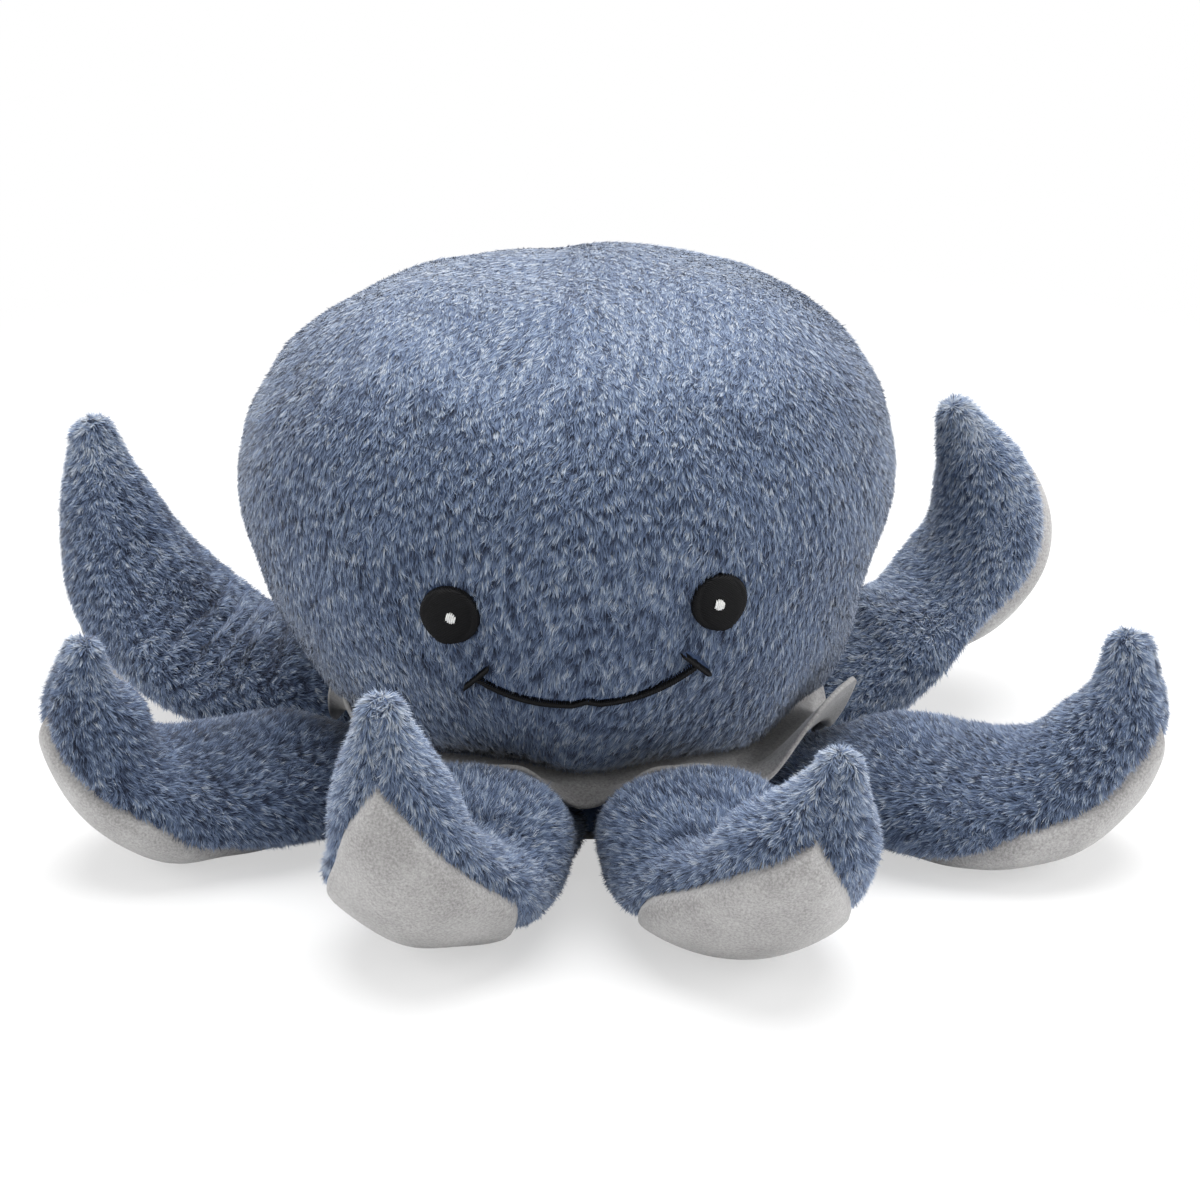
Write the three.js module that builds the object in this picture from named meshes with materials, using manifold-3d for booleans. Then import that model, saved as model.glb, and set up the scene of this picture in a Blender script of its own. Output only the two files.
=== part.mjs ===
// A plush octopus: a stuffed head above eight stuffed arms that curl up at their tips
// Millimetres, +Z up, face towards -Y, origin in the middle of the base disc on the surface it stands on
import * as THREE from 'three';
import Module from 'manifold-3d';

const wasm = await Module();
wasm.setup();

// Cloth and seams
const plushThickness = 1.6;
const suedeThickness = 1;
const seamGap = 0.35; // between two pieces sewn to each other
const panelGap = 0.7; // between an arm's panel and the cover round it
const fillingGap = 0.35; // between a cover and the filling in it
const overrun = 4; // how far a cutting body reaches past what it cuts
const openingDepth = 4.2; // of the cutting body for a panel's place, past the cover's inside all round
const flatDepth = 0.5; // how deep the arms are pressed flat where they lie on the floor

// Neck, hidden between the arms: the arms are seated round it
const neckHalfWidth = 38;
const neckHalfDepth = 30.5;

// Arms, all cut from one pattern
const armLength = 120; // along the underside, from the hinge to the start of the tip's round end
const armHalfWidth = 25; // at the belly
const armHalfThickness = 13.3;
const rootHalfWidth = 15.2;
const rootRadius = 9; // the root is rounded about its hinge
const tipRadius = 5.6;
const bellyShare = 0.45; // of the arm's length, where it's widest
const widthTaperPower = 1.4; // over 1 the arm narrows soon after its belly
const thicknessTaperPower = 0.9;
const swayPower = 2; // the tip swings aside more than the belly
const armRaiseDeg = 10; // how far the hinge lets the arm come up under the head

// How each arm lies: its seat round the neck and its heading, from the face round to +X
// Its straight run, the radius of its curl and the swing of its tip aside are shares of its length
const armShares = [
  {
    side: 'front_left', seatDeg: -21.5, headingDeg: -22,
    runShare: 0.3, curlShare: 0.3, curlDeg: 94, swayShare: -0.03,
  },
  {
    side: 'front_right', seatDeg: 21.5, headingDeg: 17.5,
    runShare: 0.34, curlShare: 0.31, curlDeg: 94, swayShare: 0.13,
  },
  {
    side: 'mid_left', seatDeg: -67, headingDeg: -76,
    runShare: 0.37, curlShare: 0.3, curlDeg: 112, swayShare: 0.08,
  },
  {
    side: 'mid_right', seatDeg: 67, headingDeg: 70.5,
    runShare: 0.42, curlShare: 0.285, curlDeg: 105, swayShare: 0.07,
  },
  {
    side: 'rear_left', seatDeg: -113.5, headingDeg: -107,
    runShare: 0.28, curlShare: 0.445, curlDeg: 85, swayShare: -0.17,
  },
  {
    side: 'rear_right', seatDeg: 113.5, headingDeg: 119.5,
    runShare: 0.19, curlShare: 0.355, curlDeg: 121, swayShare: 0.03,
  },
  {
    side: 'back_left', seatDeg: -158.5, headingDeg: -161,
    runShare: 0.34, curlShare: 0.31, curlDeg: 100, swayShare: 0,
  },
  {
    side: 'back_right', seatDeg: 158.5, headingDeg: 162,
    runShare: 0.34, curlShare: 0.31, curlDeg: 100, swayShare: 0,
  },
];

// Underside panel of an arm: half angles about the arm's axis, and where it widens and ends
const panelRootDeg = 34;
const panelWideDeg = 82;
const panelWidensShare = 0.25;
const panelWidestShare = 0.56;
const panelEndShare = 0.9;
const panelPointPower = 1.5; // over 1 the panel's point is slender

// Head, a broad crown over cheeks that draw in to the neck
const headHalfWidth = 72.6;
const headHalfDepth = 62;
const crownHeight = 46; // above the widest level
const crownPower = 2.25; // 2 would be an ellipse
const cheekHeight = 52.3; // from the head's underside to the widest level
const headFootShare = 0.734; // of the widest section, left at the underside
const headLean = -4.5; // the filling bulges to one side
const leanPower = 4; // a high power keeps the bulge broad

// Collar, a wavy ring that lies on the arms and dips between them
const collarGap = 0.7; // between a raised arm and the collar
const collarOverhang = 9.5; // past the head's lower edge, over an arm
const collarTuck = 3.5; // how much less it reaches between two arms
const collarLift = 8; // of its rim, over an arm
const collarDip = 6; // of its rim, between two arms
const collarWavePower = 1.5; // above 1 the waves over the arms are broad and the dips narrow
const collarRingShares = [-1, 0, 0.5, 1]; // neck, head's edge, halfway, rim

// Embroidered face
const stitchHeight = 0.9;
const eyeSpacing = 57;
const eyeRise = 45; // above the head's underside
const eyeTilt = 1; // of the right eye above the left one's level, halved
const eyeHalfWidth = 5.8;
const eyeHalfHeight = 6.6;
const highlightHalfWidth = 1.2;
const highlightHalfHeight = 1.6;
const highlightHeight = 0.4;
const highlightShift = 0.5; // towards the middle of the face
const faceShift = -1; // of the whole face, along X
const mouthHalfWidth = 22;
const mouthRise = 30.5; // of its corners, above the head's underside
const mouthSag = 7;
const mouthSagPower = 3;
const mouthPeak = 0.8; // the small rise where its two halves meet
const mouthPeakShare = 0.12;
const mouthLineWidth = 1.3;
const cornerLength = 5.6;
const cornerTiltDeg = 42;

// Fineness of the meshes
const coverSides = 12;
const coverSteps = 10;
const insideSides = 8;
const insideSteps = 7;
const capSteps = 3;
const panelSteps = 10;
const panelSides = 6;
const headSides = 28;
const crownSteps = 5;
const cheekSteps = 4;
const collarStepsPerWave = 8;
const padSides = 16;
const padRings = 2;
const mouthSteps = 16;

const plushBlue = new THREE.MeshStandardMaterial({ color: 0x6f86a8, roughness: 0.95, metalness: 0 });
const suedeGrey = new THREE.MeshStandardMaterial({ color: 0xa3a09e, roughness: 0.9, metalness: 0 });
const threadBlack = new THREE.MeshStandardMaterial({ color: 0x141416, roughness: 0.6, metalness: 0 });
const threadWhite = new THREE.MeshStandardMaterial({ color: 0xf2f2f0, roughness: 0.6, metalness: 0 });
const fillingWhite = new THREE.MeshStandardMaterial({ color: 0xece9e2, roughness: 1, metalness: 0 });

// Bodies from rings, grids and cuts

function bodyFrom(points, triangles) {
  const volume = triangles.reduce((sum, [a, b, c]) => {
    const cross = new THREE.Vector3().crossVectors(points[b], points[c]);
    return sum + points[a].dot(cross);
  }, 0);
  const outward = volume > 0 ? triangles : triangles.map(([a, b, c]) => [a, c, b]);
  const geometry = new THREE.BufferGeometry();
  geometry.setFromPoints(points);
  geometry.setIndex(outward.flat());
  return geometry;
}

// A closed body through rings of points: a ring of one point is a pole, and any other end gets a flat cap
function loft(rings) {
  const points = [];
  const triangles = [];
  const indices = rings.map((ring) => ring.map((point) => points.push(point) - 1));
  for (let row = 1; row < indices.length; row += 1) {
    const below = indices[row - 1];
    const above = indices[row];
    const sides = Math.max(below.length, above.length);
    for (let side = 0; side < sides; side += 1) {
      const next = (side + 1) % sides;
      const [a, b] = below.length > 1 ? [below[side], below[next]] : [below[0], below[0]];
      const [d, c] = above.length > 1 ? [above[side], above[next]] : [above[0], above[0]];
      if (a !== b) triangles.push([a, b, c]);
      if (c !== d) triangles.push([a, c, d]);
    }
  }
  capEnd(points, triangles, indices[0], false);
  capEnd(points, triangles, indices[indices.length - 1], true);
  return bodyFrom(points, triangles);
}

function capEnd(points, triangles, ring, isLast) {
  if (ring.length === 1) return;
  const middle = new THREE.Vector3();
  ring.forEach((index) => middle.add(points[index]));
  const centre = points.push(middle.divideScalar(ring.length)) - 1;
  ring.forEach((index, side) => {
    const next = ring[(side + 1) % ring.length];
    triangles.push(isLast ? [index, next, centre] : [next, index, centre]);
  });
}

// A closed sheet between an outer and an inner grid of the same size
function sheetBody(outer, inner) {
  const rows = outer.length;
  const columns = outer[0].length;
  const points = [...outer.flat(), ...inner.flat()];
  const at = (layer, row, column) => layer * rows * columns + row * columns + column;
  const triangles = [];
  const addQuad = (a, b, c, d) => triangles.push([a, b, c], [a, c, d]);
  for (let row = 0; row + 1 < rows; row += 1) {
    for (let column = 0; column + 1 < columns; column += 1) {
      const corners = [[row, column], [row, column + 1], [row + 1, column + 1], [row + 1, column]];
      addQuad(...corners.map((corner) => at(0, ...corner)));
      addQuad(...corners.reverse().map((corner) => at(1, ...corner)));
    }
  }
  for (let row = 0; row + 1 < rows; row += 1) {
    addQuad(at(0, row, 0), at(0, row + 1, 0), at(1, row + 1, 0), at(1, row, 0));
    const last = columns - 1;
    addQuad(at(0, row, last), at(1, row, last), at(1, row + 1, last), at(0, row + 1, last));
  }
  for (let column = 0; column + 1 < columns; column += 1) {
    addQuad(at(0, 0, column), at(1, 0, column), at(1, 0, column + 1), at(0, 0, column + 1));
    const last = rows - 1;
    addQuad(at(0, last, column), at(0, last, column + 1), at(1, last, column + 1), at(1, last, column));
  }
  return bodyFrom(points, triangles);
}

function toSolid(geometry) {
  const vertProperties = new Float32Array(geometry.attributes.position.array);
  const triVerts = new Uint32Array(geometry.index.array);
  return new wasm.Manifold(new wasm.Mesh({ numProp: 3, vertProperties, triVerts }));
}

function fromSolid(solid) {
  const mesh = solid.getMesh();
  const geometry = new THREE.BufferGeometry();
  geometry.setAttribute('position', new THREE.BufferAttribute(new Float32Array(mesh.vertProperties), 3));
  geometry.setIndex([...mesh.triVerts]);
  return geometry;
}

function cut(geometry, ...cutters) {
  return fromSolid(cutters.reduce((solid, cutter) => solid.subtract(toSolid(cutter)), toSolid(geometry)));
}

function boxBetween(low, high) {
  const corners = [[low.x, low.y], [high.x, low.y], [high.x, high.y], [low.x, high.y]];
  return loft([low.z, high.z].map((height) => corners.map(([x, y]) => new THREE.Vector3(x, y, height))));
}

function ellipseRing(halfWidth, halfDepth, height, shift, sides) {
  return Array.from({ length: sides }, (_, side) => {
    const angle = (2 * Math.PI * side) / sides;
    return new THREE.Vector3(shift + halfWidth * Math.cos(angle), halfDepth * Math.sin(angle), height);
  });
}

// Seats of the arms, on an ellipse that leaves each root clear of the neck

function directionOf(azimuthDeg) {
  const azimuth = THREE.MathUtils.degToRad(azimuthDeg);
  return new THREE.Vector3(Math.sin(azimuth), -Math.cos(azimuth), 0);
}

function radiusTowards(direction, halfWidth, halfDepth) {
  return 1 / Math.hypot(direction.x / halfWidth, direction.y / halfDepth);
}

const seatHalfWidth = neckHalfWidth + seamGap + rootRadius;
const seatHalfDepth = neckHalfDepth + seamGap + rootRadius;
const hingeHeight = rootRadius - flatDepth;

function seatOf(arm) {
  const direction = directionOf(arm.seatDeg);
  return direction.multiplyScalar(radiusTowards(direction, seatHalfWidth, seatHalfDepth));
}

// Arm form: an oval section carried along an underside that runs straight, curls up and ends in a tip
// In an arm's own frame X runs out from the hinge, Y across, and Z up

function taper(share, rootSize, bellySize, tipSize, taperPower) {
  if (share < bellyShare) {
    const rising = Math.sin((Math.PI / 2) * (share / bellyShare));
    return rootSize + (bellySize - rootSize) * rising;
  }
  const falling = Math.cos((Math.PI / 2) * ((share - bellyShare) / (1 - bellyShare)));
  return tipSize + (bellySize - tipSize) * Math.max(falling, 0) ** taperPower;
}

function armHalfSizes(length) {
  const share = THREE.MathUtils.clamp(length / armLength, 0, 1);
  return {
    across: taper(share, rootHalfWidth, armHalfWidth, tipRadius, widthTaperPower),
    through: taper(share, rootRadius, armHalfThickness, tipRadius, thicknessTaperPower),
  };
}

function undersideAt(arm, length) {
  const run = arm.runShare * armLength;
  const radius = arm.curlShare * armLength;
  const fullTurn = THREE.MathUtils.degToRad(arm.curlDeg);
  const turn = THREE.MathUtils.clamp((length - run) / radius, 0, fullTurn);
  const straight = Math.min(length, run);
  const beyond = Math.max(length - run - radius * fullTurn, 0);
  return {
    out: straight + radius * Math.sin(turn) + beyond * Math.cos(turn),
    up: radius * (1 - Math.cos(turn)) + beyond * Math.sin(turn) - flatDepth,
    turn,
  };
}

// A point of the arm's section: angle 0 is the middle of the underside, and shrink draws a round end in
function armPoint(arm, length, angle, inset, shrink) {
  const { across, through } = armHalfSizes(length);
  const { out, up, turn } = undersideAt(arm, length);
  const share = THREE.MathUtils.clamp(length / armLength, 0, 1);
  const sway = arm.swayShare * armLength * share ** swayPower;
  const sideways = sway + (across - inset) * shrink * Math.sin(angle);
  const inward = through - (through - inset) * shrink * Math.cos(angle);
  return new THREE.Vector3(out - inward * Math.sin(turn), sideways, up + inward * Math.cos(turn));
}

function armForm(arm, inset, armSides, armSteps) {
  const stations = [];
  for (let step = 0; step < capSteps; step += 1) {
    const angle = (Math.PI / 2) * (step / capSteps);
    stations.push({ length: -(rootRadius - inset) * Math.cos(angle), shrink: Math.sin(angle) });
  }
  for (let step = 0; step < armSteps; step += 1) {
    stations.push({ length: (armLength * step) / armSteps, shrink: 1 });
  }
  for (let step = 0; step <= capSteps; step += 1) {
    const angle = (Math.PI / 2) * (step / capSteps);
    stations.push({ length: armLength + (tipRadius - inset) * Math.sin(angle), shrink: Math.cos(angle) });
  }
  const lastStation = stations.length - 1;
  return loft(stations.map(({ length, shrink }, index) => {
    const sides = index === 0 || index === lastStation ? 1 : armSides;
    return Array.from({ length: sides }, (_, side) => {
      return armPoint(arm, length, (2 * Math.PI * side) / sides, inset, sides === 1 ? 0 : shrink);
    });
  }));
}

function panelHalfAngle(share) {
  const wide = THREE.MathUtils.degToRad(panelWideDeg);
  const narrow = THREE.MathUtils.degToRad(panelRootDeg);
  if (share < panelWidestShare) {
    const widening = THREE.MathUtils.smoothstep(share, panelWidensShare, panelWidestShare);
    return narrow + (wide - narrow) * widening;
  }
  const toPoint = Math.min((share - panelWidestShare) / (panelEndShare - panelWidestShare), 1);
  return wide * (1 - toPoint ** 2) ** panelPointPower;
}

// The underside panel, or the same sheet grown by a gap and by a depth each way to cut its place in the cover
function panelSheet(arm, gap, outset, inset) {
  const pointShare = panelEndShare - panelGap / armLength;
  const layer = (depth) => Array.from({ length: panelSteps + 1 }, (_, step) => {
    const share = pointShare * Math.sin((Math.PI / 2) * (step / panelSteps));
    const growth = step === panelSteps ? gap : 0;
    const start = step === 0 ? -gap : 0;
    const length = share * armLength + growth + start;
    const { across, through } = armHalfSizes(length);
    const halfAngle = panelHalfAngle(share) + gap / Math.min(across, through);
    return Array.from({ length: panelSides + 1 }, (_, side) => {
      return armPoint(arm, length, halfAngle * ((2 * side) / panelSides - 1), depth, 1);
    });
  });
  return sheetBody(layer(-outset), layer(inset));
}

function floorCutter() {
  const reach = armLength + rootRadius + overrun;
  const depth = armHalfThickness + overrun;
  return boxBetween(new THREE.Vector3(-reach, -reach, -depth), new THREE.Vector3(reach, reach, 0));
}

function makeArm(arm) {
  const group = new THREE.Group();
  group.position.copy(seatOf(arm));
  group.rotation.z = THREE.MathUtils.degToRad(arm.headingDeg) - Math.PI / 2;
  const floor = floorCutter();
  const hollow = armForm(arm, plushThickness, insideSides, insideSteps);
  const opening = panelSheet(arm, panelGap, overrun, openingDepth);
  const cover = cut(armForm(arm, 0, coverSides, coverSteps), hollow, opening, floor);
  const panel = cut(panelSheet(arm, 0, 0, suedeThickness), floor);
  const filling = armForm(arm, plushThickness + fillingGap, insideSides, insideSteps);
  group.add(namedMesh(`arm_${arm.side}_cover`, cover, plushBlue));
  group.add(namedMesh(`arm_${arm.side}_panel`, panel, suedeGrey));
  group.add(namedMesh(`arm_${arm.side}_filling`, filling, fillingWhite));
  return group;
}

// Levels set by the raised arms: the collar clears them, and the head's underside clears the collar

function raisedArmTop(out) {
  const raise = THREE.MathUtils.degToRad(armRaiseDeg);
  const aboveHinge = 2 * armHalfSizes(out).through - rootRadius;
  return hingeHeight + aboveHinge * Math.cos(raise) + out * Math.sin(raise);
}

const collarHeight = raisedArmTop(rootRadius) + collarGap;
const headFloor = collarHeight + suedeThickness + seamGap;
const widestHeight = headFloor + cheekHeight;
const cheekReach = cheekHeight / Math.sqrt(1 - headFootShare ** 2); // half height of the ellipse below
const headTop = widestHeight + crownHeight;

// Head form

function leanAt(height) {
  const share = THREE.MathUtils.clamp((height - headFloor) / (headTop - headFloor), 0, 1);
  return headLean * (1 - (2 * share - 1) ** leanPower);
}

function headSection(height, inset) {
  const above = height - widestHeight;
  const share = above > 0 ? above / (crownHeight - inset) : above / (cheekReach - inset);
  const power = above > 0 ? crownPower : 2;
  const size = Math.max(1 - Math.abs(share) ** power, 0) ** (1 / power);
  return { halfWidth: (headHalfWidth - inset) * size, halfDepth: (headHalfDepth - inset) * size };
}

function headRing(height, inset, sides) {
  const { halfWidth, halfDepth } = headSection(height, inset);
  return ellipseRing(halfWidth, halfDepth, height, leanAt(height), sides);
}

function neckRing(height, inset, sides) {
  return ellipseRing(neckHalfWidth - inset, neckHalfDepth - inset, height, 0, sides);
}

function headForm(inset, foot, sides) {
  const rings = [neckRing(foot, inset, sides), neckRing(headFloor + inset, inset, sides)];
  for (let step = 0; step < cheekSteps; step += 1) {
    const share = Math.sin((Math.PI / 2) * (step / cheekSteps));
    rings.push(headRing(headFloor + inset + (cheekHeight - inset) * share, inset, sides));
  }
  for (let step = 0; step < crownSteps; step += 1) {
    const share = Math.sin((Math.PI / 2) * (step / crownSteps)) ** (2 / crownPower);
    rings.push(headRing(widestHeight + (crownHeight - inset) * share, inset, sides));
  }
  rings.push([new THREE.Vector3(leanAt(headTop), 0, headTop - inset)]);
  return loft(rings);
}

function makeHead() {
  const foot = suedeThickness + seamGap;
  const shell = cut(headForm(0, foot, headSides), headForm(plushThickness, foot - overrun, headSides));
  const reach = headHalfWidth + headHalfDepth;
  const low = new THREE.Vector3(-reach, -reach, -overrun);
  const high = new THREE.Vector3(reach, reach, headTop + overrun);
  const rear = boxBetween(low.clone().setY(-seamGap / 2), high);
  const front = boxBetween(low, high.clone().setY(seamGap / 2));
  const filling = headForm(plushThickness + fillingGap, foot, headSides / 2);
  return [
    namedMesh('head_front_panel', cut(shell, rear), plushBlue),
    namedMesh('head_rear_panel', cut(shell, front), plushBlue),
    namedMesh('head_filling', filling, fillingWhite),
  ];
}

function makeBase() {
  const rings = [neckRing(0, 0, headSides), neckRing(suedeThickness, 0, headSides)];
  return namedMesh('base_disc', loft(rings), suedeGrey);
}

// Collar

const fullTurnDeg = 360;
const azimuths = armShares.map((arm) => arm.seatDeg).sort((first, second) => first - second);
const firstAzimuth = azimuths[0];
const lastAzimuth = azimuths[azimuths.length - 1];

// 1 over the middle of an arm, -1 halfway between two arms
function waveAt(azimuthDeg) {
  const following = azimuths.find((azimuth) => azimuth > azimuthDeg) ?? firstAzimuth + fullTurnDeg;
  const previous = azimuths.findLast((azimuth) => azimuth <= azimuthDeg) ?? lastAzimuth - fullTurnDeg;
  const swing = (1 - Math.cos((2 * Math.PI * (azimuthDeg - previous)) / (following - previous))) / 2;
  return 1 - 2 * swing ** collarWavePower;
}

function collarPoint(azimuthDeg, share, depth) {
  const direction = directionOf(azimuthDeg);
  const wave = waveAt(azimuthDeg);
  const foot = headSection(headFloor, 0);
  const inner = radiusTowards(direction, neckHalfWidth, neckHalfDepth) + seamGap;
  const edge = radiusTowards(direction, foot.halfWidth, foot.halfDepth);
  const outer = edge + collarOverhang - collarTuck * (1 - wave) / 2;
  const radius = share > 0 ? edge + (outer - edge) * share : edge + (edge - inner) * share;
  const rim = (collarLift - collarDip) / 2 + wave * (collarLift + collarDip) / 2;
  const point = direction.multiplyScalar(radius);
  return point.setZ(collarHeight + rim * Math.max(share, 0) + suedeThickness * (1 - depth));
}

function makeCollar() {
  const stations = azimuths.flatMap((azimuth, index) => {
    const following = azimuths[index + 1] ?? firstAzimuth + fullTurnDeg;
    return Array.from({ length: collarStepsPerWave }, (_, step) => {
      const turned = azimuth + ((following - azimuth) * step) / collarStepsPerWave;
      return turned < firstAzimuth + fullTurnDeg ? turned : turned - fullTurnDeg;
    });
  });
  const points = [];
  const triangles = [];
  const loops = stations.map((azimuthDeg) => {
    const loop = [];
    collarRingShares.forEach((share) => loop.push(collarPoint(azimuthDeg, share, 0)));
    [...collarRingShares].reverse().forEach((share) => loop.push(collarPoint(azimuthDeg, share, 1)));
    return loop.map((point) => points.push(point) - 1);
  });
  loops.forEach((loop, index) => {
    const nextLoop = loops[(index + 1) % loops.length];
    loop.forEach((vertex, place) => {
      const next = (place + 1) % loop.length;
      triangles.push([vertex, loop[next], nextLoop[next]], [vertex, nextLoop[next], nextLoop[place]]);
    });
  });
  return namedMesh('collar', bodyFrom(points, triangles), suedeGrey);
}

// Embroidery, laid on the front of the head

function facePoint(x, height, outset) {
  const { halfWidth, halfDepth } = headSection(height, -outset);
  const across = (x - leanAt(height)) / halfWidth;
  return new THREE.Vector3(x, -halfDepth * Math.sqrt(Math.max(1 - across ** 2, 0)), height);
}

function ovalPad(name, x, height, halfWidth, halfHeight, base, thickness, material) {
  const layer = (outset, share) => Array.from({ length: padSides }, (_, side) => {
    const angle = (2 * Math.PI * side) / padSides;
    const aside = halfWidth * share * Math.cos(angle);
    const above = halfHeight * share * Math.sin(angle);
    return facePoint(x + aside, height + above, outset);
  });
  const rings = [[facePoint(x, height, base)]];
  for (let ring = 1; ring <= padRings; ring += 1) rings.push(layer(base, ring / padRings));
  for (let ring = padRings; ring > 0; ring -= 1) rings.push(layer(base + thickness, ring / padRings));
  rings.push([facePoint(x, height, base + thickness)]);
  return namedMesh(name, loft(rings), material);
}

function stitchedLine(name, places) {
  const layer = (outset) => places.map((place, index) => {
    const before = places[Math.max(index - 1, 0)];
    const after = places[Math.min(index + 1, places.length - 1)];
    const along = new THREE.Vector2().subVectors(after, before).normalize();
    along.multiplyScalar(mouthLineWidth / 2);
    return [1, -1].map((side) => {
      return facePoint(place.x - side * along.y, place.y + side * along.x, outset);
    });
  });
  return namedMesh(name, sheetBody(layer(seamGap + stitchHeight), layer(seamGap)), threadBlack);
}

function mouthPlace(share) {
  const sag = mouthSag * (1 - Math.abs(share) ** mouthSagPower);
  const peak = mouthPeak * Math.max(1 - Math.abs(share) / mouthPeakShare, 0);
  return new THREE.Vector2(faceShift + mouthHalfWidth * share, headFloor + mouthRise - sag + peak);
}

function makeEye(side, sign) {
  const x = faceShift + (sign * eyeSpacing) / 2;
  const height = headFloor + eyeRise + sign * eyeTilt;
  const shineX = x - sign * highlightShift;
  const shineBase = seamGap + stitchHeight + seamGap;
  const shineSize = [highlightHalfWidth, highlightHalfHeight, shineBase, highlightHeight];
  return [
    ovalPad(`eye_${side}`, x, height, eyeHalfWidth, eyeHalfHeight, seamGap, stitchHeight, threadBlack),
    ovalPad(`eye_${side}_highlight`, shineX, height, ...shineSize, threadWhite),
  ];
}

function makeMouth() {
  const cornerClearShare = 1 - (seamGap + mouthLineWidth) / mouthHalfWidth;
  const places = Array.from({ length: mouthSteps + 1 }, (_, step) => {
    return mouthPlace(cornerClearShare * ((2 * step) / mouthSteps - 1));
  });
  const corner = (side, sign) => {
    const tilt = THREE.MathUtils.degToRad(cornerTiltDeg);
    const along = new THREE.Vector2(-sign * Math.cos(tilt), Math.sin(tilt));
    const ends = [-1, 0, 1].map((end) => {
      return mouthPlace(sign).addScaledVector(along, (end * cornerLength) / 2);
    });
    return stitchedLine(`mouth_corner_${side}`, ends);
  };
  return [stitchedLine('mouth_line', places), corner('left', -1), corner('right', 1)];
}

// Assembly

function namedMesh(name, geometry, material) {
  geometry.computeVertexNormals();
  const mesh = new THREE.Mesh(geometry, material.clone());
  mesh.name = name;
  return mesh;
}

const octopus = new THREE.Group();
octopus.add(makeBase(), makeCollar(), ...makeHead());
octopus.add(...makeEye('left', -1), ...makeEye('right', 1), ...makeMouth());
armShares.forEach((arm) => octopus.add(makeArm(arm)));

export default octopus;
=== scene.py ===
# Plush octopus: the visible cloth, pile and stitching of a stuffed toy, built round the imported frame
import math

import bmesh
import bpy
import numpy as np
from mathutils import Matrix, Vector


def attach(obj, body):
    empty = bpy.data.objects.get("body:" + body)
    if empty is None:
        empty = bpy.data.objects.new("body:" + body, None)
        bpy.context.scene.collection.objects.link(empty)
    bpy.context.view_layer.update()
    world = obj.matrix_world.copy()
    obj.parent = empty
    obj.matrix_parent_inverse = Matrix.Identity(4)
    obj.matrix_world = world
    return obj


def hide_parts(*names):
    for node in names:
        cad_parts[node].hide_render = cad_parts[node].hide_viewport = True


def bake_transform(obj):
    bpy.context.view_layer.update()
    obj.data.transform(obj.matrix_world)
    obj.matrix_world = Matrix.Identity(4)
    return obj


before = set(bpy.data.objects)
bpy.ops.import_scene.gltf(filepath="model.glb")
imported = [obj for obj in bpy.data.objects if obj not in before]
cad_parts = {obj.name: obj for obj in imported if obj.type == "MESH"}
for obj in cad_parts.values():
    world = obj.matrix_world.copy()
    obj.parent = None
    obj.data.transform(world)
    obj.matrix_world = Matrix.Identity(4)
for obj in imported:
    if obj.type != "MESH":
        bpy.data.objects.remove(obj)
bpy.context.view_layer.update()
mm = 0.001

# Camera first: sizes in millimetres, angles in degrees
cameraPlace = {"aim": (2.2, 0, 44), "distance": 1250, "tiltDeg": 25, "viewWidth": 265.5, "sensorWidth": 36}


# Puts a camera or a lamp at its place, turned to look against this direction
def standAt(name, data, place, back):
    item = bpy.data.objects.new(name, data)
    item.location = place * mm
    item.rotation_mode = "QUATERNION"
    item.rotation_quaternion = (-back).to_track_quat("-Z", "Y")
    bpy.context.scene.collection.objects.link(item)
    return item


def addCamera():
    tilt = math.radians(cameraPlace["tiltDeg"])
    back = Vector((0, -math.cos(tilt), math.sin(tilt)))
    data = bpy.data.cameras.new("camera")
    data.sensor_width = cameraPlace["sensorWidth"]
    data.lens = cameraPlace["sensorWidth"] * cameraPlace["distance"] / cameraPlace["viewWidth"]
    place = Vector(cameraPlace["aim"]) + back * cameraPlace["distance"]
    bpy.context.scene.camera = standAt("camera", data, place, back)


addCamera()


# Materials: one socket of a node tree, so that shader maths reads as plain sums
class Wire:
    def __init__(self, nodes, socket):
        self.nodes = nodes
        self.socket = socket

    def maths(self, operation, first, second):
        return self.nodes.node("ShaderNodeMath", {"operation": operation}, first, second)

    def __add__(self, other):
        return self.maths("ADD", self, other)

    __radd__ = __add__

    def __sub__(self, other):
        return self.maths("SUBTRACT", self, other)

    def __rsub__(self, other):
        return self.maths("SUBTRACT", other, self)

    def __mul__(self, other):
        return self.maths("MULTIPLY", self, other)

    __rmul__ = __mul__

    def output(self, name):
        return Wire(self.nodes, self.socket.node.outputs[name])


# The nodes of a material or of the world
class Nodes:
    def __init__(self, owner):
        owner.use_nodes = True
        self.tree = owner.node_tree

    def feed(self, socket, value):
        if isinstance(value, Wire):
            self.tree.links.new(value.socket, socket)
        else:
            socket.default_value = value

    # Values and links for a node that the tree has from the start
    def feedOwn(self, name, values):
        for socket, value in values.items():
            self.feed(self.tree.nodes[name].inputs[socket], value)

    def node(self, kind, settings, *values, **named):
        node = self.tree.nodes.new(kind)
        for setting, value in settings.items():
            if setting == "stops":
                self.setStops(node.color_ramp, value)
            else:
                setattr(node, setting, value)
        for place, value in [*enumerate(values), *named.items()]:
            self.feed(node.inputs[place], value)
        return Wire(self, node.outputs[0])

    def setStops(self, ramp, stops):
        while len(ramp.elements) < len(stops):
            ramp.elements.new(1)
        for element, (place, colour) in zip(ramp.elements, stops):
            element.position = place
            element.color = colour

    def blend(self, share, first, second, how="MIX"):
        mixed = self.node("ShaderNodeMix", {"data_type": "RGBA", "blend_type": how}, share)
        node = mixed.socket.node
        colours = [socket for socket in node.inputs if socket.type == "RGBA"]
        for socket, value in zip(colours, (first, second)):
            self.feed(socket, value)
        return Wire(self, [socket for socket in node.outputs if socket.type == "RGBA"][0])


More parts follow.
